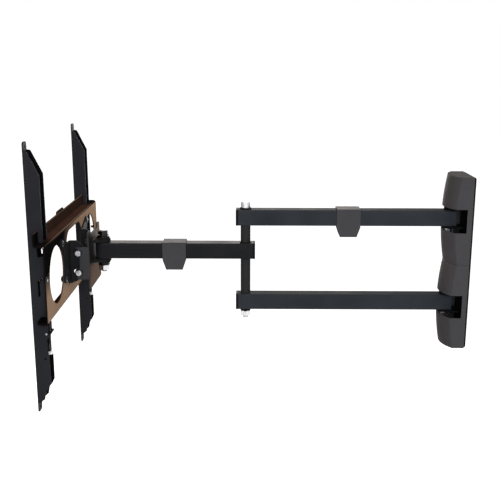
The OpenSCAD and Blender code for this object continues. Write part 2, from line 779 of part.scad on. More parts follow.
// Angle bracket between the rail and the yoke, drawn for the right side
module tilt_bracket() {
    bolt_high = rail_bolt_spots[0];
    bolt_low = rail_bolt_spots[1];
    top = tilt_z + tilt_rise;
    shoulder = 0.9 * tilt_lug_r;
    inside_window = [window_x - window_r / 4 * 3, window_z];
    difference() {
        union() {
            upright(-rail_y - tilt_t, tilt_t) difference() {
                union() {
                    polygon([[bracket_in_x, top], [foot_in + 2, top], bolt_high + [-2, shoulder],
                        bolt_high + [shoulder, 0], inside_window, bolt_low + [shoulder, 0],
                        bolt_low + [-3, -shoulder], [bracket_in_x, foot_low]]);
                    for (p = rail_bolt_spots) translate(p) circle(tilt_lug_r);
                }
                translate([window_x, window_z]) circle(window_r + 2.5, $fn = 96);
                for (p = rail_bolt_spots) translate(p) circle(rail_bolt_r + bolt_play);
            }
            side_view(bracket_in_x + tilt_t / 2, tilt_t) difference() {
                tilt_flange_2d();
                translate([tilt_y, tilt_z]) circle(tilt_bolt_r + running_play);
                lock_slot_2d();
            }
            // inner round of the bend between plate and flange
            translate([bracket_in_x + tilt_t, rail_y + tilt_t, foot_low + 2]) rotate(180)
                linear_extrude(top - foot_low - 2) corner_2d(yoke_bend);
        }
        // outer round of the bend
        translate([bracket_in_x, rail_y, foot_low - 1]) rotate(180)
            linear_extrude(top - foot_low + 2) corner_2d(yoke_bend + tilt_t);
    }
}

module right_tilt_bracket() { color(steel_black) tilt_bracket(); }
module left_tilt_bracket() { color(steel_black) mirror([1, 0, 0]) tilt_bracket(); }

// ---- rail -----------------------------------------------------------------------------

rail_bolt_r = 3;
rail_bolt_head_r = 5.5;
rail_bolt_head_h = 2.6;
stop_head_r = 4.6;
stop_head_h = 2.4;
stop_x = rail_w / 2 - 5;
stop_z = window_z + 7;
tab_x = 31;
tab_corner_r = 4;

// Section of the rail, bent from one sheet: web, two flanges, a high lip that stands up
// from the upper flange and a low one that stands up from the lower flange
module rail_2d() {
    c = rail_bend + rail_t;
    far = rail_y - rail_flange;
    translate([rail_y - rail_t, rail_bottom + c]) square([rail_t, rail_h - 2 * c]);
    translate([rail_y - c, rail_top - c]) bend_2d(rail_bend, rail_t);
    translate([far + c, rail_top - rail_t]) square([rail_flange - 2 * c, rail_t]);
    translate([far + c, rail_top + rail_bend]) rotate(180) bend_2d(rail_bend, rail_t);
    translate([far, rail_top + rail_bend]) square([rail_t, lip_up - rail_bend]);
    translate([rail_y - c, rail_bottom + c]) rotate(-90) bend_2d(rail_bend, rail_t);
    translate([far + c, rail_bottom]) square([rail_flange - 2 * c, rail_t]);
    translate([far + c, rail_bottom + c]) rotate(180) bend_2d(rail_bend, rail_t);
    translate([far, rail_bottom + c]) square([rail_t, lower_lip - c]);
}

module rail() {
    lip = lip_up + tab_h - rail_bend;
    color(rail_bronze) difference() {
        union() {
            side_view(0, rail_w) rail_2d();
            // raised tab on the upper lip
            upright(-rail_y + rail_flange - rail_t, rail_t)
                translate([tab_x, rail_top + rail_bend + lip / 2]) round_rect(tab_w, lip, tab_corner_r);
        }
        // round windows, middle window and bolt holes in the web
        upright(-rail_y - 1, rail_t + 2) {
            for (s = [-1, 1]) translate([s * window_x, window_z]) circle(window_r, $fn = 96);
            middle_window_2d();
            for (s = [-1, 1], p = rail_bolt_spots)
                translate([s * p.x, p.y]) circle(rail_bolt_r + bolt_play);
            for (s = [-1, 1]) translate([s * stop_x, stop_z]) circle(rail_bolt_r);
        }
    }
}

// Wide window behind the yoke, with large round upper corners
module middle_window_2d() {
    top = rail_top - web_head_h;
    bottom = rail_bottom + web_sill_h;
    r = web_corner_r;
    translate([-foot_in, bottom]) square([2 * foot_in, top - bottom - r]);
    translate([-foot_in + r, top - r - eps]) square([2 * (foot_in - r), r + eps]);
    for (s = [-1, 1]) translate([s * (foot_in - r), top - r]) circle(r, $fn = 64);
}

// Bolts and nuts that hold the tilt brackets on the rail
module rail_bolts() {
    color(zinc) for (s = [-1, 1], p = rail_bolt_spots) translate([s * p.x, rail_y, p.y]) {
        rotate([90, 0, 0]) translate([0, 0, -tilt_t - eps])
            cylinder(r = rail_bolt_r, h = tilt_t + rail_t + rail_bolt_r + 1);
        translate([0, tilt_t, 0]) rotate([-90, 0, 0])
            cylinder(r1 = rail_bolt_head_r, r2 = rail_bolt_head_r - 1.5, h = rail_bolt_head_h);
        translate([0, -rail_t, 0]) rotate([90, 0, 0])
            cylinder(d = (hex_flats(rail_bolt_r) + 1) / cos(30), h = rail_bolt_r, $fn = 6);
    }
}

// Screws near the ends of the rail that keep the TV brackets from sliding off
module rail_stop_screws() {
    color(zinc) for (s = [-1, 1]) translate([s * stop_x, rail_y, stop_z]) {
        rotate([90, 0, 0]) cylinder(r = rail_bolt_r - running_play, h = rail_t + 9);
        rotate([-90, 0, 0]) cylinder(r1 = stop_head_r, r2 = stop_head_r - 1.2, h = stop_head_h);
    }
}

// ---- TV brackets ----------------------------------------------------------------------

lock_y = rail_y - 11;
lock_r = 3;
lock_tip = 2;
bridge_z = rail_bottom - bridge_drop;
bridge_t = 2.5;
hook_clear = 3;
small_r = 1.6;
tip_h = 14;

// Side view of a flange of a TV bracket
module tv_flange_2d() {
    edge = screen_y + bracket_d;
    top = bracket_z + bracket_h / 2;
    bottom = bracket_z - bracket_h / 2;
    hook_y = rail_y - rail_flange - slide_gap;
    lip_y = rail_y - rail_flange + rail_t + slide_gap;
    way_in = lip_up + hook_clear;
    finger_d = 2.6;
    finger_h = 36;
    slot_h = 28;
    difference() {
        polygon([[screen_y, top - tip_h], [screen_y + 7.3, top - 15], [edge, top - 54],
            [edge, bottom + 56], [screen_y + 22, bottom + 47], [screen_y + 16.6, bottom + 40],
            [screen_y + 14.2, bottom + 27], [screen_y + 6, bottom + 20], [screen_y, bottom + 18]]);
        // hook over the upper lip: the slot for the lip, and the way in below it
        translate([hook_y, rail_top - way_in]) square([lip_y - hook_y, way_in + lip_up + slide_gap]);
        translate([hook_y, rail_top - way_in]) square([bracket_d, way_in + slide_gap]);
        // the tooth of the hook is rounded to clear the bend at the foot of the lip
        translate([lip_y, rail_top + slide_gap]) rotate(180) corner_2d(rail_bend - slide_gap);
        // notch for the lower flange and its lip
        translate([hook_y, rail_bottom - lower_notch])
            square([bracket_d, lower_notch + lower_lip + slide_gap]);
        // shallow recess for the fingers beside the lock screw
        translate([edge, bridge_z - 4])
            polygon([[1, 0], [-finger_d, -5], [-finger_d, 5 - finger_h], [1, -finger_h]]);
        // slot and hole that save weight and drain the coating bath
        translate([screen_y + 0.58 * bracket_d, rail_z - 11.5]) slot_2d(small_r, slot_h);
        translate([screen_y + 0.72 * bracket_d, bridge_z - finger_h - 8]) circle(small_r);
    }
}

// Plan of the channel: a web against the screen and two flanges with round bends
module channel_2d() {
    difference() {
        cup_2d(bracket_w, bracket_d, bracket_bend + bracket_t);
        translate([0, bracket_t]) cup_2d(bracket_w - 2 * bracket_t, bracket_d, bracket_bend);
    }
}

// Channel bracket with hooked flanges, drawn about X = 0
module tv_bracket() {
    top = bracket_z + bracket_h / 2;
    bottom = bracket_z - bracket_h / 2;
    end_r = 6;
    tongue_w = bracket_w - 6;
    difference() {
        union() {
            intersection() {
                translate([0, screen_y, bottom - 1]) linear_extrude(bracket_h + 2) channel_2d();
                side_view(0, 2 * bracket_w) {
                    translate([screen_y - 1, bottom - 1]) square([bracket_t + 1, bracket_h + 2]);
                    tv_flange_2d();
                }
                // outline from the front, with a narrower tongue at each end
                upright(-screen_y - bracket_d - 1, bracket_d + 2) {
                    translate([-bracket_w / 2 - 1, bottom + tip_h])
                        square([bracket_w + 2, bracket_h - 2 * tip_h]);
                    for (z = [top - 10, bottom + 10]) translate([0, z]) round_rect(tongue_w, 20, end_r);
                }
            }
            // bridge that carries the lock screw
            translate([-bracket_w / 2 + bracket_t / 2, screen_y + bracket_t / 2, bridge_z])
                cube([bracket_w - bracket_t, lock_y + 6 - screen_y - bracket_t / 2, bridge_t]);
        }
        // screen bolt holes at the heights of the common screen patterns
        upright(-screen_y - bracket_t - 1, bracket_t + 2) {
            for (z = [-200, -150, -100, 100, 150, 200])
                translate([0, bracket_z + z]) circle(screen_hole_r);
            for (z = [-50, 0, 50]) translate([0, bracket_z + z]) slot_2d(screen_hole_r, 26);
            for (z = [-175, -125, 125, 175]) translate([0, bracket_z + z]) slot_2d(screen_hole_r, 18);
            for (z = [top - 8, bottom + 8]) translate([0, z]) circle(2.5);
        }
        translate([0, lock_y, bridge_z - 1]) cylinder(r = lock_r + running_play, h = bridge_t + 2);
    }
}

module right_tv_bracket() { color(steel_black) translate([bracket_x, 0, 0]) tv_bracket(); }
module left_tv_bracket() { color(steel_black) translate([-bracket_x, 0, 0]) tv_bracket(); }

// Upright screw whose tip locks the bracket under the rail
module lock_screw(x) {
    tip = rail_bottom - slide_gap;
    head = bridge_z - lock_head_drop;
    translate([x, lock_y, 0]) {
        translate([0, 0, head]) cylinder(r = lock_r, h = tip - head - lock_tip);
        translate([0, 0, tip - lock_tip - eps])
            cylinder(r1 = lock_r, r2 = lock_r - 1.2, h = lock_tip);
        translate([0, 0, head - lock_head_r]) cylinder(r = lock_head_r, h = lock_head_r + 1);
    }
}

module right_lock_screw() { color(zinc) lock_screw(bracket_x); }
module left_lock_screw() { color(zinc) lock_screw(-bracket_x); }

// ---- nodes ----------------------------------------------------------------------------

wall_plate();
upper_shoulder_bracket();
lower_shoulder_bracket();
upper_cover();
lower_cover();
shoulder_bolts();
shoulder_nuts();
shoulder_washers();
upper_arm_tube();
lower_arm_tube();
shoulder_bushes();
upper_arm_cap();
lower_arm_cap();
inner_elbow_bushes();
elbow_post();
elbow_nut();
elbow_end_washers();
upper_post_sleeve();
lower_post_sleeve();
elbow_thrust_washers();
upper_arm_cable_clip();
front_arm_tube();
front_arm_cap();
front_elbow_bush();
swivel_bush();
front_arm_cable_clip();
yoke_bracket();
upper_swivel_ear();
lower_swivel_ear();
swivel_bolt();
swivel_nut();
swivel_thrust_washers();
swivel_spring_washers();
tilt_pivot_bolts();
tilt_lock_bolts();
tilt_nuts();
friction_discs();
right_tilt_bracket();
left_tilt_bracket();
rail();
rail_bolts();
rail_stop_screws();
right_tv_bracket();
left_tv_bracket();
right_lock_screw();
left_lock_screw();
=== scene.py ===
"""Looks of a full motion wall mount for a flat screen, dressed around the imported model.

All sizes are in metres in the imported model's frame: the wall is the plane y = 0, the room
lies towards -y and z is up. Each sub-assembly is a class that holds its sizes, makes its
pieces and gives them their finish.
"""

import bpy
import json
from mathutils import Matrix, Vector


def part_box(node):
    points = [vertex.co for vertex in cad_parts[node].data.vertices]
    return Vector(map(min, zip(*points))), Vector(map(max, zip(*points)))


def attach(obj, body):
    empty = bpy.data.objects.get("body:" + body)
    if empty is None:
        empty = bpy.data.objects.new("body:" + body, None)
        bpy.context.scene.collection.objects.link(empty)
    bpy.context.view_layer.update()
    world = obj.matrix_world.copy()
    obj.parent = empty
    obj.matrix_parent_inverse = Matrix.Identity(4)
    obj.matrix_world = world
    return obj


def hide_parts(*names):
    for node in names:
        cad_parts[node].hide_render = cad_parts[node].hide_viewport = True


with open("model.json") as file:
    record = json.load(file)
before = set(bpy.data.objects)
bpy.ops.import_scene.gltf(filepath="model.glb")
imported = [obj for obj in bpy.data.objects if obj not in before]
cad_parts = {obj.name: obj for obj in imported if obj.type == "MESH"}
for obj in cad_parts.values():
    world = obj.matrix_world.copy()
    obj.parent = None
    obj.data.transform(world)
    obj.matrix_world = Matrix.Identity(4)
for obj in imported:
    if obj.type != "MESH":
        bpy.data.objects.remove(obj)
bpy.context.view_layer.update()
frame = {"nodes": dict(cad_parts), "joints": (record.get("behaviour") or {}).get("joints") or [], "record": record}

import json
import logging
import math
from dataclasses import dataclass, field
from enum import Enum
from typing import Callable, Sequence

import bmesh
import bpy
import numpy as np
from mathutils import Matrix, Vector

log = logging.getLogger("wall_mount")

MM = 0.001
Array = np.ndarray
Colour = tuple[float, float, float]
Point = tuple[float, float, float]
Socket = bpy.types.NodeSocket
# Painted shade inside the screen brackets' channels, where the near flange shades the far one.
PAINTED_CHANNEL_SHADE = (0.003, 0.003, 0.004)
# Painted shade for the rail's ends, where they pass behind the brackets.
PAINTED_END_SHADE = (0.005, 0.0045, 0.005)
SAME_PLACE = 0.002 * MM
NEAR = 0.1 * MM
FLAT_TURN = math.radians(0.6)
CHAMFER_TURN = math.radians(30)
DOME_END = 1.35


# ---------------------------------------------------------------------------- finishes


class Slot(Enum):
    """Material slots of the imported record."""

    BLACK_STEEL = "black_steel"
    ARM_STEEL = "arm_steel"
    GREY_PLASTIC = "grey_plastic"
    BLACK_PLASTIC = "black_plastic"
    NYLON = "nylon"
    RAIL_STEEL = "rail_steel"
    ZINC_STEEL = "zinc_steel"


@dataclass(frozen=True)
class Zone:
    """A zone about a centre, or about a line along each axis whose scale is 0.

    Distances from the centre are multiplied by the scale. Within the inner distance the
    zone holds in full, beyond the outer distance it is gone.
    """

    centre: Point
    scale: Point
    inner: float
    outer: float


@dataclass(frozen=True)
class PaintedHighlight:
    """A zone where a lighter colour is painted on as a highlight."""

    zone: Zone
    colour: Colour


@dataclass(frozen=True)
class PaintedSheen:
    """Painted warm sheen on the faces beyond a place on the y axis, with a zone of painted shade in it.

    The sheen fades in from start to end and noise moves it by the swing. The shade zone's
    colour is a share of the coat's mean.
    """

    start: float
    end: float
    colour: Colour
    black: Zone
    swing: float = 0.08
    shade_share: float = 0.2


@dataclass(frozen=True)
class ShadedHollow:
    """Painted shade inside two channels that stand at equal distances from the middle.

    Middle is the distance of a channel from x = 0, half its inner half width, and back
    the place on the y axis beyond which its inside begins.
    """

    middle: float
    half: float
    back: float


class NodeBench:
    """Short hand for making and joining the nodes of one material."""

    NOISE_CORE = (0.3, 0.7)
    EDGE_TURN = (0.98, 0.82)
    MIX_COLOURS = (6, 7)
    FADE = 0.4 * MM

    def __init__(self, name: str) -> None:
        """Makes an empty material called name with a Principled shader."""
        self.material = bpy.data.materials.new(name)
        self.material.use_nodes = True
        self.tree = self.material.node_tree
        self.shader = self.tree.nodes["Principled BSDF"]
        self.place = self.add("ShaderNodeTexCoord").outputs["Object"]

    def add(self, kind: str, **settings: object) -> bpy.types.Node:
        """Adds a node of a kind and sets its properties."""
        node = self.tree.nodes.new(kind)
        for key, value in settings.items():
            setattr(node, key, value)
        return node

    def join(self, start: Socket, end: Socket) -> None:
        """Links an output to an input."""
        self.tree.links.new(start, end)

    def noise(self, scale: float, detail: float = 3.0, stretch: Point = (1, 1, 1)) -> Socket:
        """Noise over the object's own coordinates.

        Args:
            scale: Features per metre.
            detail: Octaves of finer noise.
            stretch: Factor on each axis, small along the direction of brushing.

        Returns:
            The noise value, from 0 to 1.
        """
        mapping = self.add("ShaderNodeMapping")
        mapping.inputs["Scale"].default_value = stretch
        texture = self.add("ShaderNodeTexNoise")
        texture.inputs["Scale"].default_value = scale
        texture.inputs["Detail"].default_value = detail
        self.join(self.place, mapping.inputs["Vector"])
        self.join(mapping.outputs["Vector"], texture.inputs["Vector"])
        return texture.outputs["Fac"]

    def ramp(self, value: Socket, start: float, end: float, low: float, high: float) -> Socket:
        """Maps a value from the range start to end onto low to high, held at the ends.

        Args:
            value: Value to map.
            start: Value that gives low.
            end: Value that gives high.
            low: Result up to start.
            high: Result from end on.

        Returns:
            The mapped value.
        """
        node = self.add("ShaderNodeMapRange")
        node.inputs["From Min"].default_value = start
        node.inputs["From Max"].default_value = end
        node.inputs["To Min"].default_value = low
        node.inputs["To Max"].default_value = high
        self.join(value, node.inputs["Value"])
        return node.outputs["Result"]

    def spread(self, noise: Socket, low: float, high: float) -> Socket:
        """Maps the core of a noise's range onto low to high."""
        return self.ramp(noise, *self.NOISE_CORE, low, high)

    def along(self, axis: str, start: float, end: float) -> Socket:
        """Returns a value that rises from 0 to 1 between two places on an axis."""
        split = self.add("ShaderNodeSeparateXYZ")
        self.join(self.place, split.inputs[0])
        return self.ramp(split.outputs[axis], start, end, 0.0, 1.0)

    def away(self, zone: Zone) -> Socket:
        """Tells how far a point lies from a zone.

        Args:
            zone: Zone to measure from.

        Returns:
            0 within the inner distance, which rises to 1 at the outer one.
        """
        mapping = self.add("ShaderNodeMapping")
        mapping.inputs["Scale"].default_value = zone.scale
        mapping.inputs["Location"].default_value = [-c * s for c, s in zip(zone.centre, zone.scale)]
        length = self.add("ShaderNodeVectorMath", operation="LENGTH")
        self.join(self.place, mapping.inputs["Vector"])
        self.join(mapping.outputs["Vector"], length.inputs[0])
        return self.ramp(length.outputs["Value"], zone.inner, zone.outer, 0.0, 1.0)

    def inside(self, hollow: ShadedHollow) -> Socket:
        """Tells whether a point lies in a hollow of painted shade: ||x| - middle| is under its half and y beyond
        its back.

        Args:
            hollow: Sizes of the hollow.

        Returns:
            1 within the hollow and 0 outside it.
        """
        split = self.add("ShaderNodeSeparateXYZ")
        self.join(self.place, split.inputs[0])
        value = split.outputs["X"]
        for operation, number in (("ABSOLUTE", 0.0), ("SUBTRACT", hollow.middle), ("ABSOLUTE", 0.0)):
            node = self.add("ShaderNodeMath", operation=operation)
            node.inputs[1].default_value = number
            self.join(value, node.inputs[0])
            value = node.outputs[0]
        both = self.add("ShaderNodeMath", operation="MULTIPLY")
        self.join(self.ramp(value, hollow.half - self.FADE, hollow.half, 1.0, 0.0), both.inputs[0])
        self.join(self.along("Y", hollow.back, hollow.back + self.FADE), both.inputs[1])
        return both.outputs[0]

    def edges(self, radius: float) -> Socket:
        """Finds sharp edges, where a rounded normal leaves the true one.

        Args:
            radius: Reach of the rounded normal.

        Returns:
            A value near 1 on sharp edges and 0 on flat faces.
        """
        rounded = self.add("ShaderNodeBevel", samples=4)
        rounded.inputs["Radius"].default_value = radius
        true = self.add("ShaderNodeNewGeometry")
        dot = self.add("ShaderNodeVectorMath", operation="DOT_PRODUCT")
        self.join(rounded.outputs["Normal"], dot.inputs[0])
        self.join(true.outputs["Normal"], dot.inputs[1])
        return self.ramp(dot.outputs["Value"], *self.EDGE_TURN, 0.0, 1.0)

    def blend(self, factor: Socket, first: Colour | Socket, second: Colour | Socket) -> Socket:
        """Mixes two colours by a factor.

        Args:
            factor: Share of the second colour, from 0 to 1.
            first: Colour at 0.
            second: Colour at 1.

        Returns:
            The mixed colour.
        """
        node = self.add("ShaderNodeMix", data_type="RGBA")
        for slot, colour in zip(self.MIX_COLOURS, (first, second)):
            if isinstance(colour, tuple):
                node.inputs[slot].default_value = (*colour, 1.0)
            else:
                self.join(colour, node.inputs[slot])
        self.join(factor, node.inputs[0])
        return node.outputs[2]

    def mottled(self, value: Socket, colour: Colour, swing: float) -> Socket:
        """Returns a colour that noise darkens and lightens by a swing."""
        darker = tuple(channel * (1 - swing) for channel in colour)
        lighter = tuple(min(1.0, channel * (1 + swing)) for channel in colour)
        return self.blend(self.spread(value, 0.0, 1.0), darker, lighter)

    def bump(self, heights: Sequence[tuple[Socket, float, float]]) -> None:
        """Stacks bumps on the shader's normal.

        Args:
            heights: Height value, strength and depth in metres of each bump.
        """
        normal = None
        for value, strength, depth in heights:
            node = self.add("ShaderNodeBump")
            node.inputs["Strength"].default_value = strength
            node.inputs["Distance"].default_value = depth
            self.join(value, node.inputs["Height"])
            if normal is not None:
                self.join(normal, node.inputs["Normal"])
            normal = node.outputs["Normal"]
        self.join(normal, self.shader.inputs["Normal"])


@dataclass(frozen=True)
class PowderCoat:
    """Baked powder coat on steel: orange peel, specks, a dark pooled band and rubbed edges that also carry a
    painted highlight.

    Swing is how far noise moves the colour, pool the width of the dark band along edges,
    rub how much lighter the bare edge itself is from wear and a painted highlight, and
    end_shade_reach the distance from x = 0 beyond which painted shade darkens the coat.
    """

    name: str
    colour: Colour
    slot: Slot = Slot.BLACK_STEEL
    roughness: float = 0.48
    cloud_scale: float = 14.0
    swing: float = 0.14
    peel_scale: float = 900.0
    speck_scale: float = 4.6
    peel_depth: float = 0.06 * MM
    speck_depth: float = 0.02 * MM
    specular: float = 0.06
    wear_and_highlight: float = 1.6
    wear_and_highlight_width: float = 0.25 * MM
    pool: float = 1.5 * MM
    pool_shade: float = 0.25
    painted_sheen: PaintedSheen | None = None
    hollow: ShadedHollow | None = None
    end_shade_reach: float = 0.0
    painted_highlights: tuple[PaintedHighlight, ...] = ()

    def shaded(self, factor: float) -> Colour:
        """Returns the coat's colour times a factor."""
        return tuple(min(1.0, channel * factor) for channel in self.colour)

    def sheen_and_shade(self, bench: NodeBench, cloud: Socket, colour: Socket) -> Socket:
        """Puts the painted sheen with its zone of painted shade over the coat's colour.

        Args:
            bench: Bench of the material.
            cloud: Slow noise that moves the sheen.
            colour: Colour of the coat below.

        Returns:
            The colour with the sheen.
        """
        # Painted sheen on the faces towards the wall, with painted shade in its black zone.
        face = bench.along("Y", self.painted_sheen.start, self.painted_sheen.end)
        sheen = bench.mottled(cloud, self.painted_sheen.colour, self.painted_sheen.swing)
        black = (self.painted_sheen.shade_share * sum(self.colour) / 3,) * 3
        return bench.blend(face, colour, bench.blend(bench.away(self.painted_sheen.black), black, sheen))

    def coat(self, bench: NodeBench, cloud: Socket) -> Socket:
        """Layers the coat's colours: noise, painted shade at the ends, painted sheen with painted shade, painted
        shade in the hollow, pooled band, rubbed edge with painted highlight, painted highlights.

        Args:
            bench: Bench of the material.
            cloud: Slow noise that moves the colour.

        Returns:
            The finished colour.
        """
        colour = bench.mottled(cloud, self.colour, self.swing)
        # Painted shade darkens the coat beyond a distance from x = 0.
        if self.end_shade_reach:
            middle = Zone((0.0, 0.0, 0.0), (1.0, 0.0, 0.0), 0.8 * self.end_shade_reach, self.end_shade_reach)
            colour = bench.blend(bench.away(middle), colour, PAINTED_END_SHADE)
        # Painted sheen and painted shade on the wall side.
        if self.painted_sheen is not None:
            colour = self.sheen_and_shade(bench, cloud, colour)
        # Painted shade: the inside of the channels is made black.
        if self.hollow is not None:
            colour = bench.blend(bench.inside(self.hollow), colour, PAINTED_CHANNEL_SHADE)
        colour = bench.blend(bench.edges(self.pool), colour, self.shaded(self.pool_shade))
        # Rubbed wear with a painted highlight on the very edge.
        colour = bench.blend(bench.edges(self.wear_and_highlight_width), colour, self.shaded(self.wear_and_highlight))
        # Painted highlights: the rail's bends and a painted glint at its corner.
        for patch in self.painted_highlights:
            colour = bench.blend(bench.away(patch.zone), patch.colour, colour)
        return colour

    def material(self) -> bpy.types.Material:
        """Builds the material: noise moves colour and gloss a little, two noises make the peel.

        Returns:
            The new material.
        """
        bench = NodeBench(self.name)
        cloud = bench.noise(self.cloud_scale, 2.0)
        peel = bench.noise(self.peel_scale, 2.0)
        specks = bench.noise(self.peel_scale * self.speck_scale, 1.0)
        bench.join(self.coat(bench, cloud), bench.shader.inputs["Base Color"])
        rough = bench.spread(cloud, self.roughness - 0.05, self.roughness + 0.07)
        bench.join(rough, bench.shader.inputs["Roughness"])
        bench.shader.inputs["Specular IOR Level"].default_value = self.specular
        bench.bump([(peel, 0.35, self.peel_depth), (specks, 0.2, self.speck_depth)])
        return bench.material


@dataclass(frozen=True)
class MouldedPlastic:
    """Spark-eroded moulded plastic: a fine even grain and a soft sheen."""

    name: str
    colour: Colour
    slot: Slot = Slot.GREY_PLASTIC
    roughness: float = 0.55
    flow_scale: float = 9.0
    swing: float = 0.08
    grain_scale: float = 1600.0
    grain_depth: float = 0.08 * MM
    specular: float = 0.1

    def material(self) -> bpy.types.Material:
        """Builds the material: a cell pattern and noise make the moulded grain.

        Returns:
            The new material.
        """
        bench = NodeBench(self.name)
        flow = bench.noise(self.flow_scale, 2.0)
        bench.join(bench.mottled(flow, self.colour, self.swing), bench.shader.inputs["Base Color"])
        cells = bench.add("ShaderNodeTexVoronoi")
        cells.inputs["Scale"].default_value = self.grain_scale
        bench.join(bench.place, cells.inputs["Vector"])
        fine = bench.noise(self.grain_scale * 2.2, 2.0)
        rough = bench.spread(fine, self.roughness - 0.06, self.roughness + 0.06)
        bench.join(rough, bench.shader.inputs["Roughness"])
        bench.shader.inputs["Specular IOR Level"].default_value = self.specular
        bench.bump([(cells.outputs["Distance"], 0.3, self.grain_depth), (fine, 0.2, self.grain_depth / 2)])
        return bench.material


@dataclass(frozen=True)
class ZincPlate:
    """Zinc plating on turned or cold headed steel: turning marks and painted dark reflection along the edges."""

    name: str
    colour: Colour = (0.66, 0.67, 0.69)
    # Colour of the painted dark reflection along the edges.
    rim: Colour = (0.06, 0.06, 0.065)
    roughness: float = 0.3
    dark_reflection_width: float = 0.5 * MM
    cloud_scale: float = 220.0
    line_scale: float = 1500.0
    line_depth: float = 0.02 * MM
    slot: Slot = Slot.ZINC_STEEL

    def material(self) -> bpy.types.Material:
        """Builds the material: metal with fine rings, cloudy gloss and painted dark reflection at the edges.

        Returns:
            The new material.
        """
        bench = NodeBench(self.name)
        cloud = bench.noise(self.cloud_scale, 3.0)
        lines = bench.noise(self.line_scale, 2.0, (0.3, 0.3, 6.0))
        plate = bench.mottled(cloud, self.colour, 0.12)
        # Painted dark reflection: the edges are darkened to the rim colour.
        plate = bench.blend(bench.edges(self.dark_reflection_width), plate, self.rim)
        bench.join(plate, bench.shader.inputs["Base Color"])
        rough = bench.spread(cloud, self.roughness - 0.07, self.roughness + 0.1)
        bench.join(rough, bench.shader.inputs["Roughness"])
        bench.shader.inputs["Metallic"].default_value = 1.0
        bench.bump([(lines, 0.25, self.line_depth)])
        return bench.material


Finish = PowderCoat | MouldedPlastic | ZincPlate

BLACK = PowderCoat("black_powder_coat", (0.014, 0.014, 0.015), specular=0.01)
HARDWARE = PowderCoat("shadowed_coat", (0.009, 0.009, 0.009), specular=0.0)
SLEEVE = PowderCoat("sleeve_coat", (0.026, 0.026, 0.027), specular=0.03)
ARM = PowderCoat("arm_powder_coat", (0.031, 0.035, 0.040), Slot.ARM_STEEL, specular=0.005, pool=2.4 * MM)
FRONT = PowderCoat("front_arm_coat", (0.014, 0.014, 0.0155), Slot.ARM_STEEL, specular=0.035, pool=2.4 * MM)
SCREEN = PowderCoat(
    "screen_bracket_coat", (0.021, 0.021, 0.0245), specular=0.02, pool=2.0 * MM,
    # Paints shade inside the two channels.
    hollow=ShadedHollow(middle=181.2 * MM, half=13.2 * MM, back=-784.2 * MM),
)
# Zones of painted highlights on the rail: its upper bend, its lip's edge and a glint at the bend's near corner.
UPPER_BEND = Zone((0.0, -0.7513, 0.0733), (0.004, 1, 1), 0.5 * MM, 1.1 * MM)
LIP_EDGE = Zone((0.0, -0.7668, 0.0960), (0.004, 1, 1), 0.6 * MM, 1.4 * MM)
BEND_CORNER = Zone((0.2225, -0.7513, 0.0733), (1, 1, 1), 0.9 * MM, 1.6 * MM)
# Painted shade in the rail's sheen at the upper corner of its +x end.
RAIL_PAINTED_SHADE = Zone((0.222, 0, 0.074), (0.36, 0, 1), 50 * MM, 90 * MM)
RAIL = PowderCoat(
    "rail_coat", (0.044, 0.024, 0.018), Slot.RAIL_STEEL, specular=0.0, wear_and_highlight=1.2, end_shade_reach=190 * MM,
    # Painted warm sheen on the wall side of the web.
    painted_sheen=PaintedSheen(-750.6 * MM, -750.1 * MM, (0.395, 0.27, 0.19), RAIL_PAINTED_SHADE),
    # Painted highlights along the bends and a painted glint at the corner.
    painted_highlights=(PaintedHighlight(UPPER_BEND, (0.17, 0.15, 0.12)), PaintedHighlight(LIP_EDGE, (0.15, 0.11, 0.08)),
          PaintedHighlight(BEND_CORNER, (0.70, 0.69, 0.65))),
)
# Painted shade in the yoke's sheen round the swivel ears.
YOKE_PAINTED_SHADE = Zone((0.03, 0, 0.03), (0.71, 0, 1), 30 * MM, 36 * MM)
YOKE = PowderCoat(
    "yoke_coat", (0.044, 0.044, 0.047), specular=0.01,
    # Painted warm sheen on the yoke's wall side.
    painted_sheen=PaintedSheen(-712.1 * MM, -711.6 * MM, (0.10, 0.056, 0.030), YOKE_PAINTED_SHADE),
)
WELD = PowderCoat("coated_weld", (0.012, 0.012, 0.012), peel_scale=2400.0)
COVER = MouldedPlastic("cover_moulding", (0.064, 0.061, 0.064), specular=0.01)
CLIP = MouldedPlastic("clip_moulding", (0.055, 0.053, 0.057), specular=0.05)
CAP = MouldedPlastic("cap_moulding", (0.006, 0.006, 0.007), Slot.BLACK_PLASTIC, 0.5, specular=0.03)
NYLON = MouldedPlastic(
    "dyed_nylon", (0.010, 0.010, 0.011), Slot.NYLON, 0.5, grain_depth=0.03 * MM, specular=0.05)
ZINC = ZincPlate("bright_zinc")
DULL = ZincPlate("dull_zinc", (0.24, 0.24, 0.25), (0.03, 0.03, 0.03), 0.45)
BLACKENED = ZincPlate("blackened_steel", (0.032, 0.031, 0.032), (0.008, 0.008, 0.008), 0.34)

_made: dict[str, bpy.types.Material] = {}


def material_of(finish: Finish) -> bpy.types.Material:
    """Returns the material of a finish, made the first time it is asked for."""
    if finish.name not in _made:
        _made[finish.name] = finish.material()
    return _made[finish.name]


# ---------------------------------------------------------------------------- shapes


@dataclass(frozen=True)
class Shape:
    """Points and faces of a piece before it becomes a Blender mesh."""

    points: Array
    faces: tuple[tuple[int, ...], ...]

    def __add__(self, other: "Shape") -> "Shape":
        """Joins two shapes into one."""
        shift = len(self.points)
        moved = tuple(tuple(corner + shift for corner in face) for face in other.faces)
        return Shape(np.concatenate([self.points, other.points]), self.faces + moved)

    def aimed(self, place: Point, along: Point = (0, 0, 1)) -> "Shape":
        """Turns the shape's z axis to a direction and moves its origin to a place."""
        turn = Vector((0, 0, 1)).rotation_difference(Vector(along)).to_matrix()
        return Shape(self.points @ np.array(turn).T + np.array(place), self.faces)


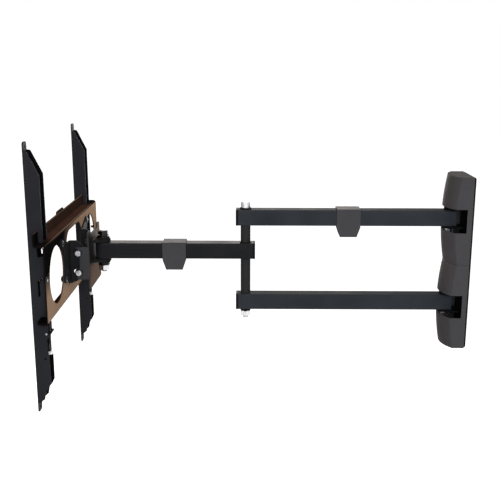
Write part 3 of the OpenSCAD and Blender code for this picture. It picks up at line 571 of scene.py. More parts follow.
def grid(points: Array, capped: bool = True) -> Shape:
    """Joins rows of points into a closed skin.

    Face (i, j) joins neighbours j and j + 1 of rows i and i + 1, the last column joins the
    first, and the two end rows are closed by flat faces.

    Args:
        points: Places by row, column and axis; columns turn left seen against the rows.
        capped: Whether the end rows are closed, or else the last row joins the first.

    Returns:
        The closed shape.
    """
    rows, columns = points.shape[:2]
    index = np.arange(rows * columns).reshape(rows, columns)
    after = np.roll(index, -1, axis=1)
    last = rows - 1 if capped else rows
    ahead, ahead_after = np.roll(index, -1, axis=0), np.roll(after, -1, axis=0)
    quads = np.stack([index, after, ahead_after, ahead], axis=-1)[:last].reshape(-1, 4)
    faces = [tuple(quad) for quad in quads.tolist()]
    if capped:
        faces += [tuple(index[0, ::-1].tolist()), tuple(index[-1].tolist())]
    return Shape(points.reshape(-1, 3), tuple(faces))


def turned(radius: Array, height: Array, columns: int = 48, capped: bool = True) -> Shape:
    """Turns a profile round the z axis.

    Point (i, j) lies at angle 2 pi j / columns, at radius[i, j] and height[i, j].

    Args:
        radius: Radius by row, or by row and column.
        height: Height by row, or by row and column.
        columns: Points round the axis.
        capped: Whether the ends are closed, or else the last row joins the first.

    Returns:
        The turned shape.
    """
    angle = np.arange(columns) * 2 * np.pi / columns
    r = np.broadcast_to(radius if radius.ndim == 2 else radius[:, None], (len(radius), columns))
    z = np.broadcast_to(height if height.ndim == 2 else height[:, None], (len(height), columns))
    return grid(np.stack([r * np.cos(angle), r * np.sin(angle), z], axis=-1), capped)


def hexagon(flats: float, columns: int) -> Array:
    """Radius of a hexagon by column: half the flats over the cosine of the angle to a flat."""
    angle = np.arange(columns) * 2 * np.pi / columns
    return flats / 2 / np.cos(np.mod(angle, np.pi / 3) - np.pi / 6)


def hex_body(flats: float, height: float, bore: float = 0.0, both: bool = False) -> Shape:
    """Hexagon head or nut with turned chamfers.

    A cone that starts from a crown of 0.475 flats cuts the hexagon, so each
    corner's side ends lower by the corner's extra radius times the cone's slope.

    Args:
        flats: Width across flats.
        height: Height.
        bore: Radius of the hole through a nut, or 0 for a solid head.
        both: Whether the lower corners are turned too.

    Returns:
        The body, standing on z = 0.
    """
    columns = 72
    side = hexagon(flats, columns)
    crown = 0.475 * flats
    fall = (side - crown) * math.tan(CHAMFER_TURN)
    ring = np.full(columns, crown)
    low, high = np.zeros(columns), np.full(columns, height)
    radius = [side, side, ring]
    level = [fall if both else low, high - fall, high]
    if both:
        radius.insert(0, ring)
        level.insert(0, low)
    if not bore:
        return turned(np.array(radius), np.array(level), columns)
    mouth, hole = np.full(columns, bore * 1.12), np.full(columns, bore)
    radius += [mouth, hole, hole, mouth]
    level += [high, high - 0.12 * bore, low + 0.12 * bore, low]
    return turned(np.array(radius), np.array(level), columns, capped=False)


def threaded(radius: float, length: float, plain: float, pitch: float) -> Shape:
    """Bolt shank that points down from z = 0, with a thread below its plain part.

    The radius falls by 0.54 pitch times a clipped triangle wave of height / pitch minus
    the turn, so that the crest climbs one pitch each turn. The thread fades in over its
    first pitch, and a cone points the last one.

    Args:
        radius: Outer radius.
        length: Whole length.
        plain: Length without thread below z = 0.
        pitch: Climb of the thread in one turn.

    Returns:
        The closed shank.
    """
    columns = 32
    steps = max(8, int(6 * (length - plain) / pitch))
    level = np.concatenate([[0.0], np.linspace(-plain, -length, steps)])[::-1]
    turn = np.arange(columns) / columns
    phase = np.mod(level[:, None] / pitch - turn[None, :], 1.0)
    wave = np.clip(1.6 * np.abs(2 * phase - 1) - 0.3, 0.0, 1.0)
    fade = np.clip((-plain - level) / pitch, 0.0, 1.0)[:, None]
    depth = 0.54 * pitch * wave * fade
    tip = radius - np.clip(pitch - (level + length), 0.0, pitch) * 0.8
    return turned(np.minimum(radius - depth, tip[:, None]), level, columns)


def knurled(radius: float, height: float, ridges: int, depth: float) -> Shape:
    """Round head with straight ridges on its side, standing on z = 0.

    The radius falls by the depth times the square of a cosine of the ridge's angle.

    Args:
        radius: Outer radius.
        height: Height.
        ridges: Number of ridges.
        depth: Depth of the valleys.

    Returns:
        The closed head.
    """
    columns = ridges * 6
    angle = np.arange(columns) * 2 * np.pi / columns
    valley = depth * np.cos(ridges * angle / 2) ** 2
    inset = np.array([0.12, 0.03, 0.0, 0.0, 0.03, 0.12]) * radius
    level = np.array([0.0, 0.04, 0.12, 0.88, 0.96, 1.0]) * height
    cut = np.array([0.0, 0.3, 1.0, 1.0, 0.3, 0.0])
    return turned(radius - inset[:, None] - cut[:, None] * valley[None, :], level, columns)


def dome(radius: float, height: float, columns: int = 32) -> Shape:
    """Low button head on z = 0: the radius follows a cosine and the height a sine.

    Args:
        radius: Radius of the foot.
        height: Height.
        columns: Points round the axis.

    Returns:
        The closed head.
    """
    arc = np.linspace(0.0, DOME_END, 8)
    rise = 0.08 + 0.92 * np.sin(arc) / math.sin(DOME_END)
    rim = np.concatenate([[radius * 0.985], radius * np.cos(arc)])
    return turned(rim, np.concatenate([[0.0], height * rise]), columns)


def bead(start: Point, end: Point, radius: float, ripple: float = 1.6 * MM) -> Shape:
    """Weld bead between two points: a rippled round whose ends taper off.

    The radius at a share s of the way is the bead's radius times the fourth root of
    1 - (2 s - 1) ^ 8, less a tenth where the ripple's sine is low.

    Args:
        start: Start of the seam.
        end: End of the seam.
        radius: Radius of the bead.
        ripple: Length of one ripple.

    Returns:
        The closed bead.
    """
    length = (Vector(end) - Vector(start)).length
    share = np.linspace(0.0, 1.0, max(24, int(length / ripple * 8)))
    taper = (1 - (2 * share - 1) ** 8) ** 0.25
    wave = 1 - 0.1 * np.abs(np.sin(np.pi * share * length / ripple))
    profile = np.maximum(radius * taper * wave, 0.05 * radius)
    return turned(profile, share * length, 14).aimed(start, tuple(Vector(end) - Vector(start)))


def square_loft(rows: Sequence[tuple[float, float, float]], corner_points: int = 6) -> Shape:
    """Lofts rounded squares along z.

    Each corner is a quarter circle about a centre that lies half minus radius out on both
    axes, so column k of a row is that centre plus the radius along the column's angle.

    Args:
        rows: Half side, height and corner radius of each square.
        corner_points: Points round one corner.

    Returns:
        The closed loft.
    """
    angle = np.concatenate([np.linspace(0, np.pi / 2, corner_points) + k * np.pi / 2 for k in range(4)])
    middle = np.repeat(np.arange(4) * np.pi / 2 + np.pi / 4, corner_points)
    half, level, radius = (np.array(column)[:, None] for column in zip(*rows))
    spread = (half - radius) * math.sqrt(2)
    x = spread * np.cos(middle) + radius * np.cos(angle)
    y = spread * np.sin(middle) + radius * np.sin(angle)
    return grid(np.stack([x, y, np.broadcast_to(level, x.shape)], axis=-1))


# ---------------------------------------------------------------------------- pieces


def body_with(node: str) -> str:
    """Returns the name of the body that holds a CAD node."""
    bodies = frame["record"]["behaviour"]["bodies"]
    return next(body for body, members in bodies.items() if node in members)


def axis_of(joint: str) -> Vector:
    """Returns the point of a joint that its axis runs through."""
    return Vector(next(j["pos_m"] for j in frame["joints"] if j["name"] == joint))


def merged(node: str) -> bmesh.types.BMesh:
    """Returns a copy of a CAD node's mesh with its loose triangles joined."""
    bm = bmesh.new()
    bm.from_mesh(frame["nodes"][node].data)
    bmesh.ops.remove_doubles(bm, verts=bm.verts, dist=SAME_PLACE)
    return bm


def middle_of(node: str) -> Point:
    """Returns the middle of a CAD node's box."""
    low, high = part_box(node)
    return tuple((start + end) / 2 for start, end in zip(low, high))


def rounded(piece: bpy.types.Object, width: float, segments: int, angle: float = 38.0) -> None:
    """Adds live edge rounding to a piece.

    Args:
        piece: Piece to round.
        width: Width of the rounding.
        segments: Faces across the rounding.
        angle: Least turn in degrees of an edge that is rounded.
    """
    rounding = piece.modifiers.new("edge rounding", "BEVEL")
    rounding.width = width
    rounding.segments = segments
    rounding.limit_method = "ANGLE"
    rounding.angle_limit = math.radians(angle)
    rounding.harden_normals = True


@dataclass
class SubAssembly:
    """What every sub-assembly does with its pieces: make, dress, place and report them."""

    title: str
    sharp: float = field(default=32.0, kw_only=True)

    def dress(self, name: str, mesh: bpy.types.Mesh, node: str, finish: Finish) -> bpy.types.Object:
        """Makes a piece of a mesh and gives it a finish and a body.

        Args:
            name: Name of the piece.
            mesh: Mesh with its place in its points.
            node: CAD node on whose body the piece rides.
            finish: Finish of the surface.

        Returns:
            The new piece.
        """
        mesh.polygons.foreach_set("use_smooth", np.ones(len(mesh.polygons), dtype=bool))
        mesh.set_sharp_from_angle(angle=math.radians(self.sharp))
        mesh.materials.append(material_of(finish))
        piece = bpy.data.objects.new(name, mesh)
        bpy.context.scene.collection.objects.link(piece)
        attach(piece, body_with(node))
        log.info("%s: %s", self.title, name)
        return piece

    def coated(
        self, node: str, width: float, finish: Finish, segments: int = 2,
        rework: Callable[[bmesh.types.BMesh], None] | None = None,
    ) -> None:
        """Copies a CAD node, joins its triangles into faces and rounds its edges.

        Args:
            node: CAD node that the piece stands for.
            width: Width of the rounding.
            finish: Finish of the surface.
            segments: Faces across the rounding.
            rework: Step that reshapes the copy before its edges are rounded.
        """
        bm = merged(node)
        bmesh.ops.dissolve_limit(bm, angle_limit=FLAT_TURN, verts=bm.verts, edges=bm.edges)
        if rework is not None:
            rework(bm)
        bmesh.ops.recalc_face_normals(bm, faces=bm.faces)
        mesh = bpy.data.meshes.new(node + "_coated")
        bm.to_mesh(mesh)
        bm.free()
        piece = self.dress("coated_" + node, mesh, node, finish)
        rounded(piece, width, segments)
        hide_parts(node)

    def made(
        self, name: str, shapes: Sequence[Shape], node: str, finish: Finish, width: float = 0.0,
        stands_in: bool = True,
    ) -> None:
        """Makes a piece of worked-out shapes.

        Args:
            name: Name of the piece.
            shapes: Closed shapes that make up the piece.
            node: CAD node that it stands for or sits on.
            finish: Finish of the surface.
            width: Width of the edge rounding, or 0 for none.
            stands_in: Whether the piece stands for the CAD node.
        """
        whole = shapes[0]
        for shape in shapes[1:]:
            whole = whole + shape
        mesh = bpy.data.meshes.new(name)
        mesh.from_pydata(whole.points.tolist(), [], list(whole.faces))
        mesh.validate()
        piece = self.dress(name, mesh, node, finish)
        if width:
            rounded(piece, width, 2, 30.0)
        if stands_in:
            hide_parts(node)


@dataclass(frozen=True)
class Thread:
    """Sizes of one bolt and its nut."""

    radius: float
    flats: float
    head: float
    nut: float
    pitch: float

    def nut_shape(self) -> Shape:
        """Nut with both ends chamfered, standing on z = 0."""
        return hex_body(self.flats, self.nut, self.radius * 1.01, both=True)

    def head_shape(self) -> Shape:
        """Hexagon head with a round washer face, standing on z = 0."""
        seat = 0.04 * self.flats
        face = turned(np.array([0.47, 0.47]) * self.flats, np.array([0.0, seat + 0.1 * MM]), 48)
        return face + hex_body(self.flats, self.head - seat).aimed((0, 0, seat))

    def shank(self, length: float, plain: float) -> Shape:
        """Shank that points down from z = 0, threaded below its plain part."""
        return threaded(self.radius, length, plain, self.pitch)


@dataclass(frozen=True)
class Weld:
    """Sizes of a weld bead: its radius, how far it sinks in and where it starts and ends."""

    radius: float = 1.5 * MM
    sink: float = 0.3 * MM
    inset: float = 2 * MM

    def seam(self, start: Point, end: Point) -> Shape:
        """Bead between two points."""
        return bead(start, end, self.radius)


@dataclass
class WallUnit(SubAssembly):
    """Wall plate, shoulder brackets, covers and shoulder bolts."""

    title: str = "wall unit"
    plate_edge: float = 0.4 * MM
    bracket_edge: float = 0.6 * MM
    cover_edge: float = 0.7 * MM
    washer_edge: float = 0.2 * MM
    grip: float = 20 * MM
    bolt: Thread = Thread(5 * MM, 16 * MM, 6.5 * MM, 8.5 * MM, 1.5 * MM)
    tail: float = 2 * MM
    run_in: float = 4 * MM
    weld: Weld = Weld()

    def plate(self) -> None:
        """Makes the wall plate and its two brackets with their welds."""
        self.coated("wall_plate", self.plate_edge, HARDWARE)
        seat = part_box("wall_plate")[0].y - self.weld.sink
        for which in ("upper", "lower"):
            node = f"{which}_shoulder_bracket"
            self.coated(node, self.bracket_edge, HARDWARE)
            low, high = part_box(node)
            foot, top = low.z + self.weld.inset, high.z - self.weld.inset
            seams = [self.weld.seam((x, seat, foot), (x, seat, top)) for x in (low.x, high.x)]
            self.made(f"{which}_bracket_welds", seams, node, HARDWARE, stands_in=False)

    def covers(self) -> None:
        """Makes the two covers."""
        for which in ("upper", "lower"):
            self.coated(f"{which}_cover", self.cover_edge, COVER, 3)

    def bolts(self) -> None:
        """Makes the shoulder bolts, their nuts and their washers."""
        axis = axis_of("shoulder_swing")
        heads: list[Shape] = []
        nuts: list[Shape] = []
        shank = self.bolt.shank(2 * self.grip + self.bolt.nut + self.tail, 2 * self.grip - self.run_in)
        for which in ("upper", "lower"):
            level = middle_of(f"{which}_shoulder_bracket")[2]
            top = (axis.x, axis.y, level + self.grip)
            foot = (axis.x, axis.y, level - self.grip - self.bolt.nut)
            heads += [self.bolt.head_shape().aimed(top), shank.aimed(top)]
            nuts.append(self.bolt.nut_shape().aimed(foot))
        self.made("shoulder_hex_bolts", heads, "shoulder_bolts", ZINC)
        self.made("shoulder_hex_nuts", nuts, "shoulder_nuts", ZINC)
        self.coated("shoulder_washers", self.washer_edge, NYLON)

    def build(self) -> None:
        """Makes the whole wall unit."""
        self.plate()
        self.covers()
        self.bolts()


@dataclass(frozen=True)
class EndCap:
    """Sizes of the plastic plug in the open end of a tube.

    Each row of the crown says how far the flange's rounded edge lies inside its half,
    below its top and under its corner radius.
    """

    half: float = 15.3 * MM
    flange: float = 4 * MM
    corner: float = 3.3 * MM
    spigot: float = 4.4 * MM
    spigot_half: float = 12.8 * MM
    spigot_wall: float = 1.6 * MM
    spigot_corner: float = 1 * MM
    lead_in: float = 0.3 * MM
    foot: float = 0.15 * MM
    crown: tuple[Point, ...] = ((0, 1 * MM, 0), (0.25 * MM, 0.4 * MM, 0), (0.9 * MM, 0, 0.4 * MM))
    rim: float = 2.4 * MM
    rim_corner: float = 2 * MM
    dish: float = 0.7 * MM
    dish_slope: float = 0.5 * MM
    dish_corner: float = 1.6 * MM

    def shape(self) -> Shape:
        """Lofts the plug: a rimmed dish above its flange's foot at z = 0, a hollow spigot below.

        Returns:
            The closed plug.
        """
        inside = self.spigot_half - self.spigot_wall
        skirt = [(inside, 0.0), (inside, -self.spigot), (self.spigot_half - self.lead_in, -self.spigot),
                 (self.spigot_half, self.lead_in - self.spigot), (self.spigot_half, 0.0)]
        rows = [(half, level, self.spigot_corner) for half, level in skirt]
        rows += [(self.half - self.foot, 0.0, self.corner), (self.half, self.foot, self.corner)]
        rows += [(self.half - inset, self.flange - drop, self.corner - tighter)
                 for inset, drop, tighter in self.crown]
        rows += [(self.half - self.rim, self.flange, self.rim_corner),
                 (self.half - self.rim - self.dish_slope, self.flange - self.dish, self.dish_corner)]
        return square_loft(rows)


@dataclass
class Arm(SubAssembly):
    """What the inner arms and the front arm share: tubes with plugs, bushes, a cable clip."""

    tube_edge: float = 0.3 * MM
    bush_edge: float = 0.2 * MM
    clip_edge: float = 0.6 * MM
    cap: EndCap = EndCap()

    def tube(self, which: str, finish: Finish, side: int) -> None:
        """Makes a tube and the plug in its open end.

        Args:
            which: The tube: upper, lower or front.
            finish: Coat of the tube.
            side: 1 where the open end points to the wall, -1 where it points to the room.
        """
        tube, cap = f"{which}_arm_tube", f"{which}_arm_cap"
        self.coated(tube, self.tube_edge, finish)
        ends = {-1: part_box(tube)[0].y, 1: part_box(tube)[1].y}
        plug = self.cap.shape().aimed((0.0, ends[side], middle_of(cap)[2]), (0, side, 0))
        self.made(f"{which}_end_cap", [plug], cap, CAP)

    def fittings(self, bushes: Sequence[str], clip: str) -> None:
        """Makes the bushes and the cable clip."""
        for node in bushes:
            self.coated(node, self.bush_edge, ZINC)
        self.coated(clip, self.clip_edge, CLIP)


@dataclass
class InnerArms(Arm):
    """The two parallel arms with the post that joins them to the front arm."""

    title: str = "inner arms"
    post: Thread = Thread(6 * MM, 18 * MM, 12 * MM, 10.2 * MM, 1.75 * MM)
    post_head: float = 9 * MM
    socket: float = 9.9 * MM
    ridges: int = 36
    ridge_depth: float = 0.25 * MM
    thread_length: float = 22 * MM
    sleeve_edge: float = 0.4 * MM
    washer_edge: float = 0.25 * MM

    def socket_head(self) -> Shape:
        """Round head with a hexagon socket, standing on z = 0.

        Outside rows follow the ridged side: a share of the head's radius less a share of
        the ridge's cosine squared. The radius of the inside rows is the socket's hexagon,
        and the last row closes the socket's floor.

        Returns:
            The closed head.
        """
        columns = self.ridges * 6
        angle = np.arange(columns) * 2 * np.pi / columns
        valley = self.ridge_depth * np.cos(self.ridges * angle / 2) ** 2
        outside = np.array([0.97, 1.0, 1.0, 0.985, 0.93])[:, None] * self.post_head
        outside = outside - np.array([0, 1, 1, 0.4, 0])[:, None] * valley
        recess = hexagon(self.socket, columns)
        inside = np.stack([recess * 1.05, recess, recess])
        level = np.array([0.0, 0.04, 0.86, 0.95, 1.0, 1.0, 0.96, 0.5]) * self.post.head
        return turned(np.concatenate([outside, inside]), level, columns)

    def elbow(self) -> None:
        """Makes the post, its nut, the sleeves and the washers."""
        axis = axis_of("elbow_swing")
        low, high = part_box("elbow_post")
        seat = (axis.x, axis.y, high.z - self.post.head)
        length = seat[2] - low.z
        shank = self.post.shank(length, length - self.thread_length)
        screw = [self.socket_head().aimed(seat), shank.aimed(seat)]
        self.made("elbow_post_screw", screw, "elbow_post", ZINC)
        foot = (axis.x, axis.y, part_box("elbow_nut")[0].z)
        self.made("elbow_hex_nut", [self.post.nut_shape().aimed(foot)], "elbow_nut", ZINC)
        self.coated("elbow_end_washers", self.sleeve_edge, CAP)
        self.coated("upper_post_sleeve", self.sleeve_edge, SLEEVE)
        self.coated("lower_post_sleeve", self.sleeve_edge, SLEEVE)
        self.coated("elbow_thrust_washers", self.washer_edge, NYLON)

    def build(self) -> None:
        """Makes both arms and the elbow."""
        for which in ("upper", "lower"):
            self.tube(which, ARM, -1)
        self.fittings(("shoulder_bushes", "inner_elbow_bushes"), "upper_arm_cable_clip")
        self.elbow()


@dataclass
class FrontArm(Arm):
    """The single arm between the elbow and the swivel."""

    title: str = "front arm"

    def build(self) -> None:
        """Makes the tube, its plug, bushes and cable clip."""
        self.tube("front", FRONT, 1)
        self.fittings(("front_elbow_bush", "swivel_bush"), "front_arm_cable_clip")


@dataclass
class SwivelHead(SubAssembly):
    """The yoke with its swivel bolt and the four tilt bolts."""

    title: str = "swivel head"
    plate_edge: float = 0.6 * MM
    ear_edge: float = 0.5 * MM
    washer_edge: float = 0.3 * MM
    spring_edge: float = 0.2 * MM
    bolt_edge: float = 0.15 * MM
    swivel: Thread = Thread(6 * MM, 18 * MM, 7.8 * MM, 10.2 * MM, 1.75 * MM)
    tilt: Thread = Thread(4 * MM, 13 * MM, 5.2 * MM, 6.8 * MM, 1.25 * MM)
    thread_length: float = 20 * MM
    flange_radius: float = 7.4 * MM
    flange: float = 1.2 * MM
    shank: float = 14.8 * MM
    plain: float = 4 * MM
    weld: Weld = Weld()
    weld_level: float = 5 * MM
    face: float = 5.2 * MM
    face_depth: float = 1 * MM
    face_edge: float = 0.1 * MM
    notch_half: float = 31 * MM
    notch_drop: float = 8 * MM
    notch_slope: float = 2 * MM

    def notched(self, bm: bmesh.types.BMesh) -> None:
        """Lowers the middle of the yoke's top edge and leaves a tab at each corner.

        Args:
            bm: Copy of the yoke that is reshaped.
        """
        top = max(vertex.co.z for vertex in bm.verts)
        for x in (self.notch_half, self.notch_half + self.notch_slope):
            for side in (-1, 1):
                everything = bm.verts[:] + bm.edges[:] + bm.faces[:]
                bmesh.ops.bisect_plane(bm, geom=everything, plane_co=(side * x, 0, 0), plane_no=(1, 0, 0))
        for vertex in bm.verts:
            if vertex.co.z > top - 2 * NEAR and abs(vertex.co.x) < self.notch_half + NEAR:
                vertex.co.z -= self.notch_drop

    def yoke(self) -> None:
        """Makes the yoke and its two welded ears."""
        self.coated("yoke_bracket", self.plate_edge, YOKE, 3, self.notched)
        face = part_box("yoke_bracket")[1].y - self.weld.sink
        seams: list[Shape] = []
        for which in ("upper", "lower"):
            node = f"{which}_swivel_ear"
            self.coated(node, self.ear_edge, BLACK)
            low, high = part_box(node)
            level = low.z + self.weld_level if which == "upper" else high.z - self.weld_level
            start, end = low.x + self.weld.inset, high.x - self.weld.inset
            seams.append(self.weld.seam((start, face, level), (end, face, level)))
        self.made("ear_welds", seams, "yoke_bracket", WELD, stands_in=False)

    def swivel_pin(self) -> None:
        """Makes the swivel bolt, its nut and all its washers."""
        axis = axis_of("head_swivel")
        low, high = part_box("swivel_bolt")
        seat = (axis.x, axis.y, high.z - self.swivel.head)
        length = seat[2] - low.z
        bolt = self.swivel.head_shape() + self.swivel.shank(length, length - self.thread_length)
        self.made("swivel_hex_bolt", [bolt.aimed(seat)], "swivel_bolt", BLACKENED)
        foot = (axis.x, axis.y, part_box("swivel_nut")[0].z)
        self.made("swivel_hex_nut", [self.swivel.nut_shape().aimed(foot)], "swivel_nut", ZINC)
        self.coated("swivel_thrust_washers", self.washer_edge, NYLON)
        self.coated("swivel_spring_washers", self.spring_edge, BLACKENED)

    def bright_face(self) -> Shape:
        """Bright zinc middle of a head's top, seated on z = 0 like the bolt; the blackened flanks round it are
        painted dark reflection.
        """
        top = self.flange + self.tilt.head
        radius = np.array([self.face, self.face, self.face - self.face_edge])
        return turned(radius, np.array([top - self.face_depth, top - self.face_edge, top]))

    def flanged_bolt(self) -> Shape:
        """Puts a hexagon head on a coned flange, with its shank below, seated on z = 0.

        Returns:
            The whole bolt.
        """
        rim = self.flange_radius
        radius = np.array([rim - 0.3 * MM, rim, rim, self.tilt.flats / 2])
        collar = turned(radius, np.array([0.0, 0.2 * MM, 0.6 * MM, self.flange + 0.3 * MM]), 48)
        head = hex_body(self.tilt.flats, self.tilt.head - self.face_edge).aimed((0, 0, self.flange))
        return collar + head + self.tilt.shank(self.shank, self.plain)

    def tilt_bolts(self) -> None:
        """Makes the pivot and lock bolts, their nuts and the friction discs."""
        nuts: list[Shape] = []
        axis = axis_of("head_tilt")
        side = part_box("yoke_bracket")[1].x
        nut_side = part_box("tilt_nuts")[1].x
        for kind in ("pivot", "lock"):
            node = f"tilt_{kind}_bolts"
            level = middle_of(node)[2]
            bolts: list[Shape] = []
            faces: list[Shape] = []
            for way in (-1, 1):
                seat, out = (way * side, axis.y, level), (way, 0, 0)
                bolts.append(self.flanged_bolt().aimed(seat, out))
                faces.append(self.bright_face().aimed(seat, out))
                nuts.append(self.tilt.nut_shape().aimed((way * nut_side, axis.y, level), (-way, 0, 0)))
            # The blackened heads are painted dark reflection round their bright zinc faces.
            self.made(f"{kind}_hex_bolts", bolts, node, BLACKENED, self.bolt_edge)
            self.made(f"{kind}_hex_faces", faces, node, ZINC, stands_in=False)
        self.made("tilt_hex_nuts", nuts, "tilt_nuts", BLACKENED)
        self.coated("friction_discs", self.bolt_edge, NYLON)

    def build(self) -> None:
        """Makes the whole swivel head."""
        self.yoke()
        self.swivel_pin()
        self.tilt_bolts()


@dataclass(frozen=True)
class Window:
    """Middle and radius of the rail's round window at +x, which has a twin at -x."""

    x: float
    z: float
    radius: float


@dataclass
class TiltHead(SubAssembly):
    """The rail with its two tilt brackets and its screws."""

    title: str = "tilt head"
    bracket_edge: float = 0.5 * MM
    rail_edge: float = 0.6 * MM
    bolt: Thread = Thread(3 * MM, 10 * MM, 2.6 * MM, 3 * MM, 1 * MM)
    bolt_head: float = 5.5 * MM
    bolt_tail: float = 4 * MM
    stop_head: float = 4.6 * MM
    stop_height: float = 2.4 * MM
    stop_tail: float = 9 * MM
    bracket_t: float = 3 * MM
    rail_t: float = 2.5 * MM
    solid_window: Window = Window(145.5 * MM, 9.8 * MM, 49 * MM)
    dressed_window: Window = Window(145.0 * MM, 7.4 * MM, 51 * MM)

    def windowed(self, bm: bmesh.types.BMesh) -> None:
        """Moves the rims of the two round windows from the solid's circle to the dressed one.

        Args:
            bm: Copy of the rail that is reshaped.
        """
        old, new = self.solid_window, self.dressed_window
        for vertex in bm.verts:
            side = math.copysign(1, vertex.co.x)
            across, up = vertex.co.x - side * old.x, vertex.co.z - old.z
            reach = math.hypot(across, up)
            if abs(reach - old.radius) < NEAR:
                vertex.co.x = side * new.x + across / reach * new.radius
                vertex.co.z = new.z + up / reach * new.radius

    def spots(self, node: str) -> list[tuple[float, float]]:
        """Finds the screw axes of a node, from the middles of its separate solids.

        Args:
            node: CAD node that holds the screws.

        Returns:
            The x and z of each screw, in order.
        """
        bm = merged(node)
        found: list[tuple[float, float]] = []
        left = set(bm.verts)
        while left:
            reached, front = set(), {left.pop()}
            while front:
                reached |= front
                front = {edge.other_vert(vert) for vert in front for edge in vert.link_edges} - reached
            left -= reached
            places = [[vert.co[axis] for vert in reached] for axis in (0, 2)]
            found.append(tuple((min(place) + max(place)) / 2 for place in places))
        bm.free()
        return sorted(found)

    def rail_bolts(self, web: float) -> None:
        """Makes the bolts that hold the rail to the brackets.

        Args:
            web: Place on the y axis where rail and brackets meet.
        """
        length = self.bracket_t + self.rail_t + self.bolt_tail
        parts: list[Shape] = []
        for x, z in self.spots("rail_bolts"):
            face, back = (x, web + self.bracket_t, z), (x, web - self.rail_t, z)
            parts += [dome(self.bolt_head, self.bolt.head).aimed(face, (0, 1, 0)),
                      self.bolt.shank(length, self.bracket_t).aimed(face, (0, 1, 0)),
                      self.bolt.nut_shape().aimed(back, (0, -1, 0))]
        self.made("rail_carriage_bolts", parts, "rail_bolts", BLACKENED)

    def stop_screws(self, web: float) -> None:
        """Makes the stop screws, blackened with a bright middle.

        Args:
            web: Place on the y axis of the rail's face that the screws sit on.
        """
        heads: list[Shape] = []
        shanks: list[Shape] = []
        shank = threaded(self.bolt.radius * 0.98, self.rail_t + self.stop_tail, self.rail_t, self.bolt.pitch)
        for x, z in self.spots("rail_stop_screws"):
            seat = (x, web, z)
            heads.append(dome(0.6 * self.stop_head, self.stop_height).aimed(seat, (0, 1, 0)))
            shanks.append(dome(self.stop_head, 0.8 * self.stop_height).aimed(seat, (0, 1, 0)))
            shanks.append(shank.aimed(seat, (0, 1, 0)))
        self.made("stop_screw_shanks", shanks, "rail_stop_screws", BLACKENED)
        self.made("stop_screw_heads", heads, "rail_stop_screws", ZINC, stands_in=False)

    def build(self) -> None:
        """Makes brackets, rail, rail bolts and stop screws."""
        for side in ("right", "left"):
            self.coated(f"{side}_tilt_bracket", self.bracket_edge, BLACK)
        self.coated("rail", self.rail_edge, RAIL, rework=self.windowed)
        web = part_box("right_tilt_bracket")[0].y
        self.rail_bolts(web)
        self.stop_screws(web)


@dataclass
class ScreenBrackets(SubAssembly):
    """The two hooked channels that the screen is bolted to, with their lock screws."""

    title: str = "screen brackets"
    edge: float = 0.5 * MM
    screw: Thread = Thread(3 * MM, 10 * MM, 6.5 * MM, 3 * MM, 1 * MM)
    head: float = 5.5 * MM
    ridges: int = 28
    ridge_depth: float = 0.35 * MM
    plain_share: float = 0.2
    rivet: float = 2.0 * MM
    rivet_height: float = 0.7 * MM
    rivet_from_edge: float = 6.8 * MM
    bridge_below_rail: float = 24.4 * MM

    def lock_screw(self, side: str) -> None:
        """Makes one lock screw: a blackened screw with a bright ridged head.

        Args:
            side: Side of the screw, right or left.
        """
        node = f"{side}_lock_screw"
        low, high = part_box(node)
        x, y, _ = middle_of(node)
        length = high.z - low.z - self.screw.head
        shank = self.screw.shank(length, self.plain_share * length)
        foot = (x, y, low.z + self.screw.head)
        self.made(f"{side}_lock_shank", [shank.aimed(foot, (0, 0, -1))], node, BLACKENED)
        grip = knurled(self.head, self.screw.head, self.ridges, self.ridge_depth).aimed((x, y, low.z))
        self.made(f"{side}_lock_head", [grip], node, ZINC, stands_in=False)

    def build(self) -> None:
        """Makes both brackets with their rivets and lock screws."""
        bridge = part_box("rail")[0].z - self.bridge_below_rail
        for side in ("right", "left"):
            node = f"{side}_tv_bracket"
            self.coated(node, self.edge, SCREEN)
            low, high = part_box(node)
            y = high.y - self.rivet_from_edge
            heads = [dome(self.rivet, self.rivet_height, 24).aimed((x, y, bridge), (way, 0, 0))
                     for x, way in ((low.x, -1), (high.x, 1))]
            self.made(f"{side}_bridge_rivets", heads, node, DULL, stands_in=False)
            self.lock_screw(side)


# ---------------------------------------------------------------------------- studio


@dataclass(frozen=True)
class Lamp:
    """A square soft lamp that faces the middle of the mount."""

    name: str
    place: Point
    size: float
    power: float
    colour: Colour

    def hang(self, target: Point) -> None:
        """Makes the lamp and turns it to a target.

        Args:
            target: Point that the lamp faces.
        """
        data = bpy.data.lights.new(self.name, "AREA")
        data.shape = "SQUARE"
        data.size = self.size
        data.energy = self.power
        data.color = self.colour
        lamp = bpy.data.objects.new(self.name, data)
        lamp.location = self.place
        lamp.rotation_euler = (Vector(target) - Vector(self.place)).to_track_quat("-Z", "Y").to_euler()
        bpy.context.scene.collection.objects.link(lamp)


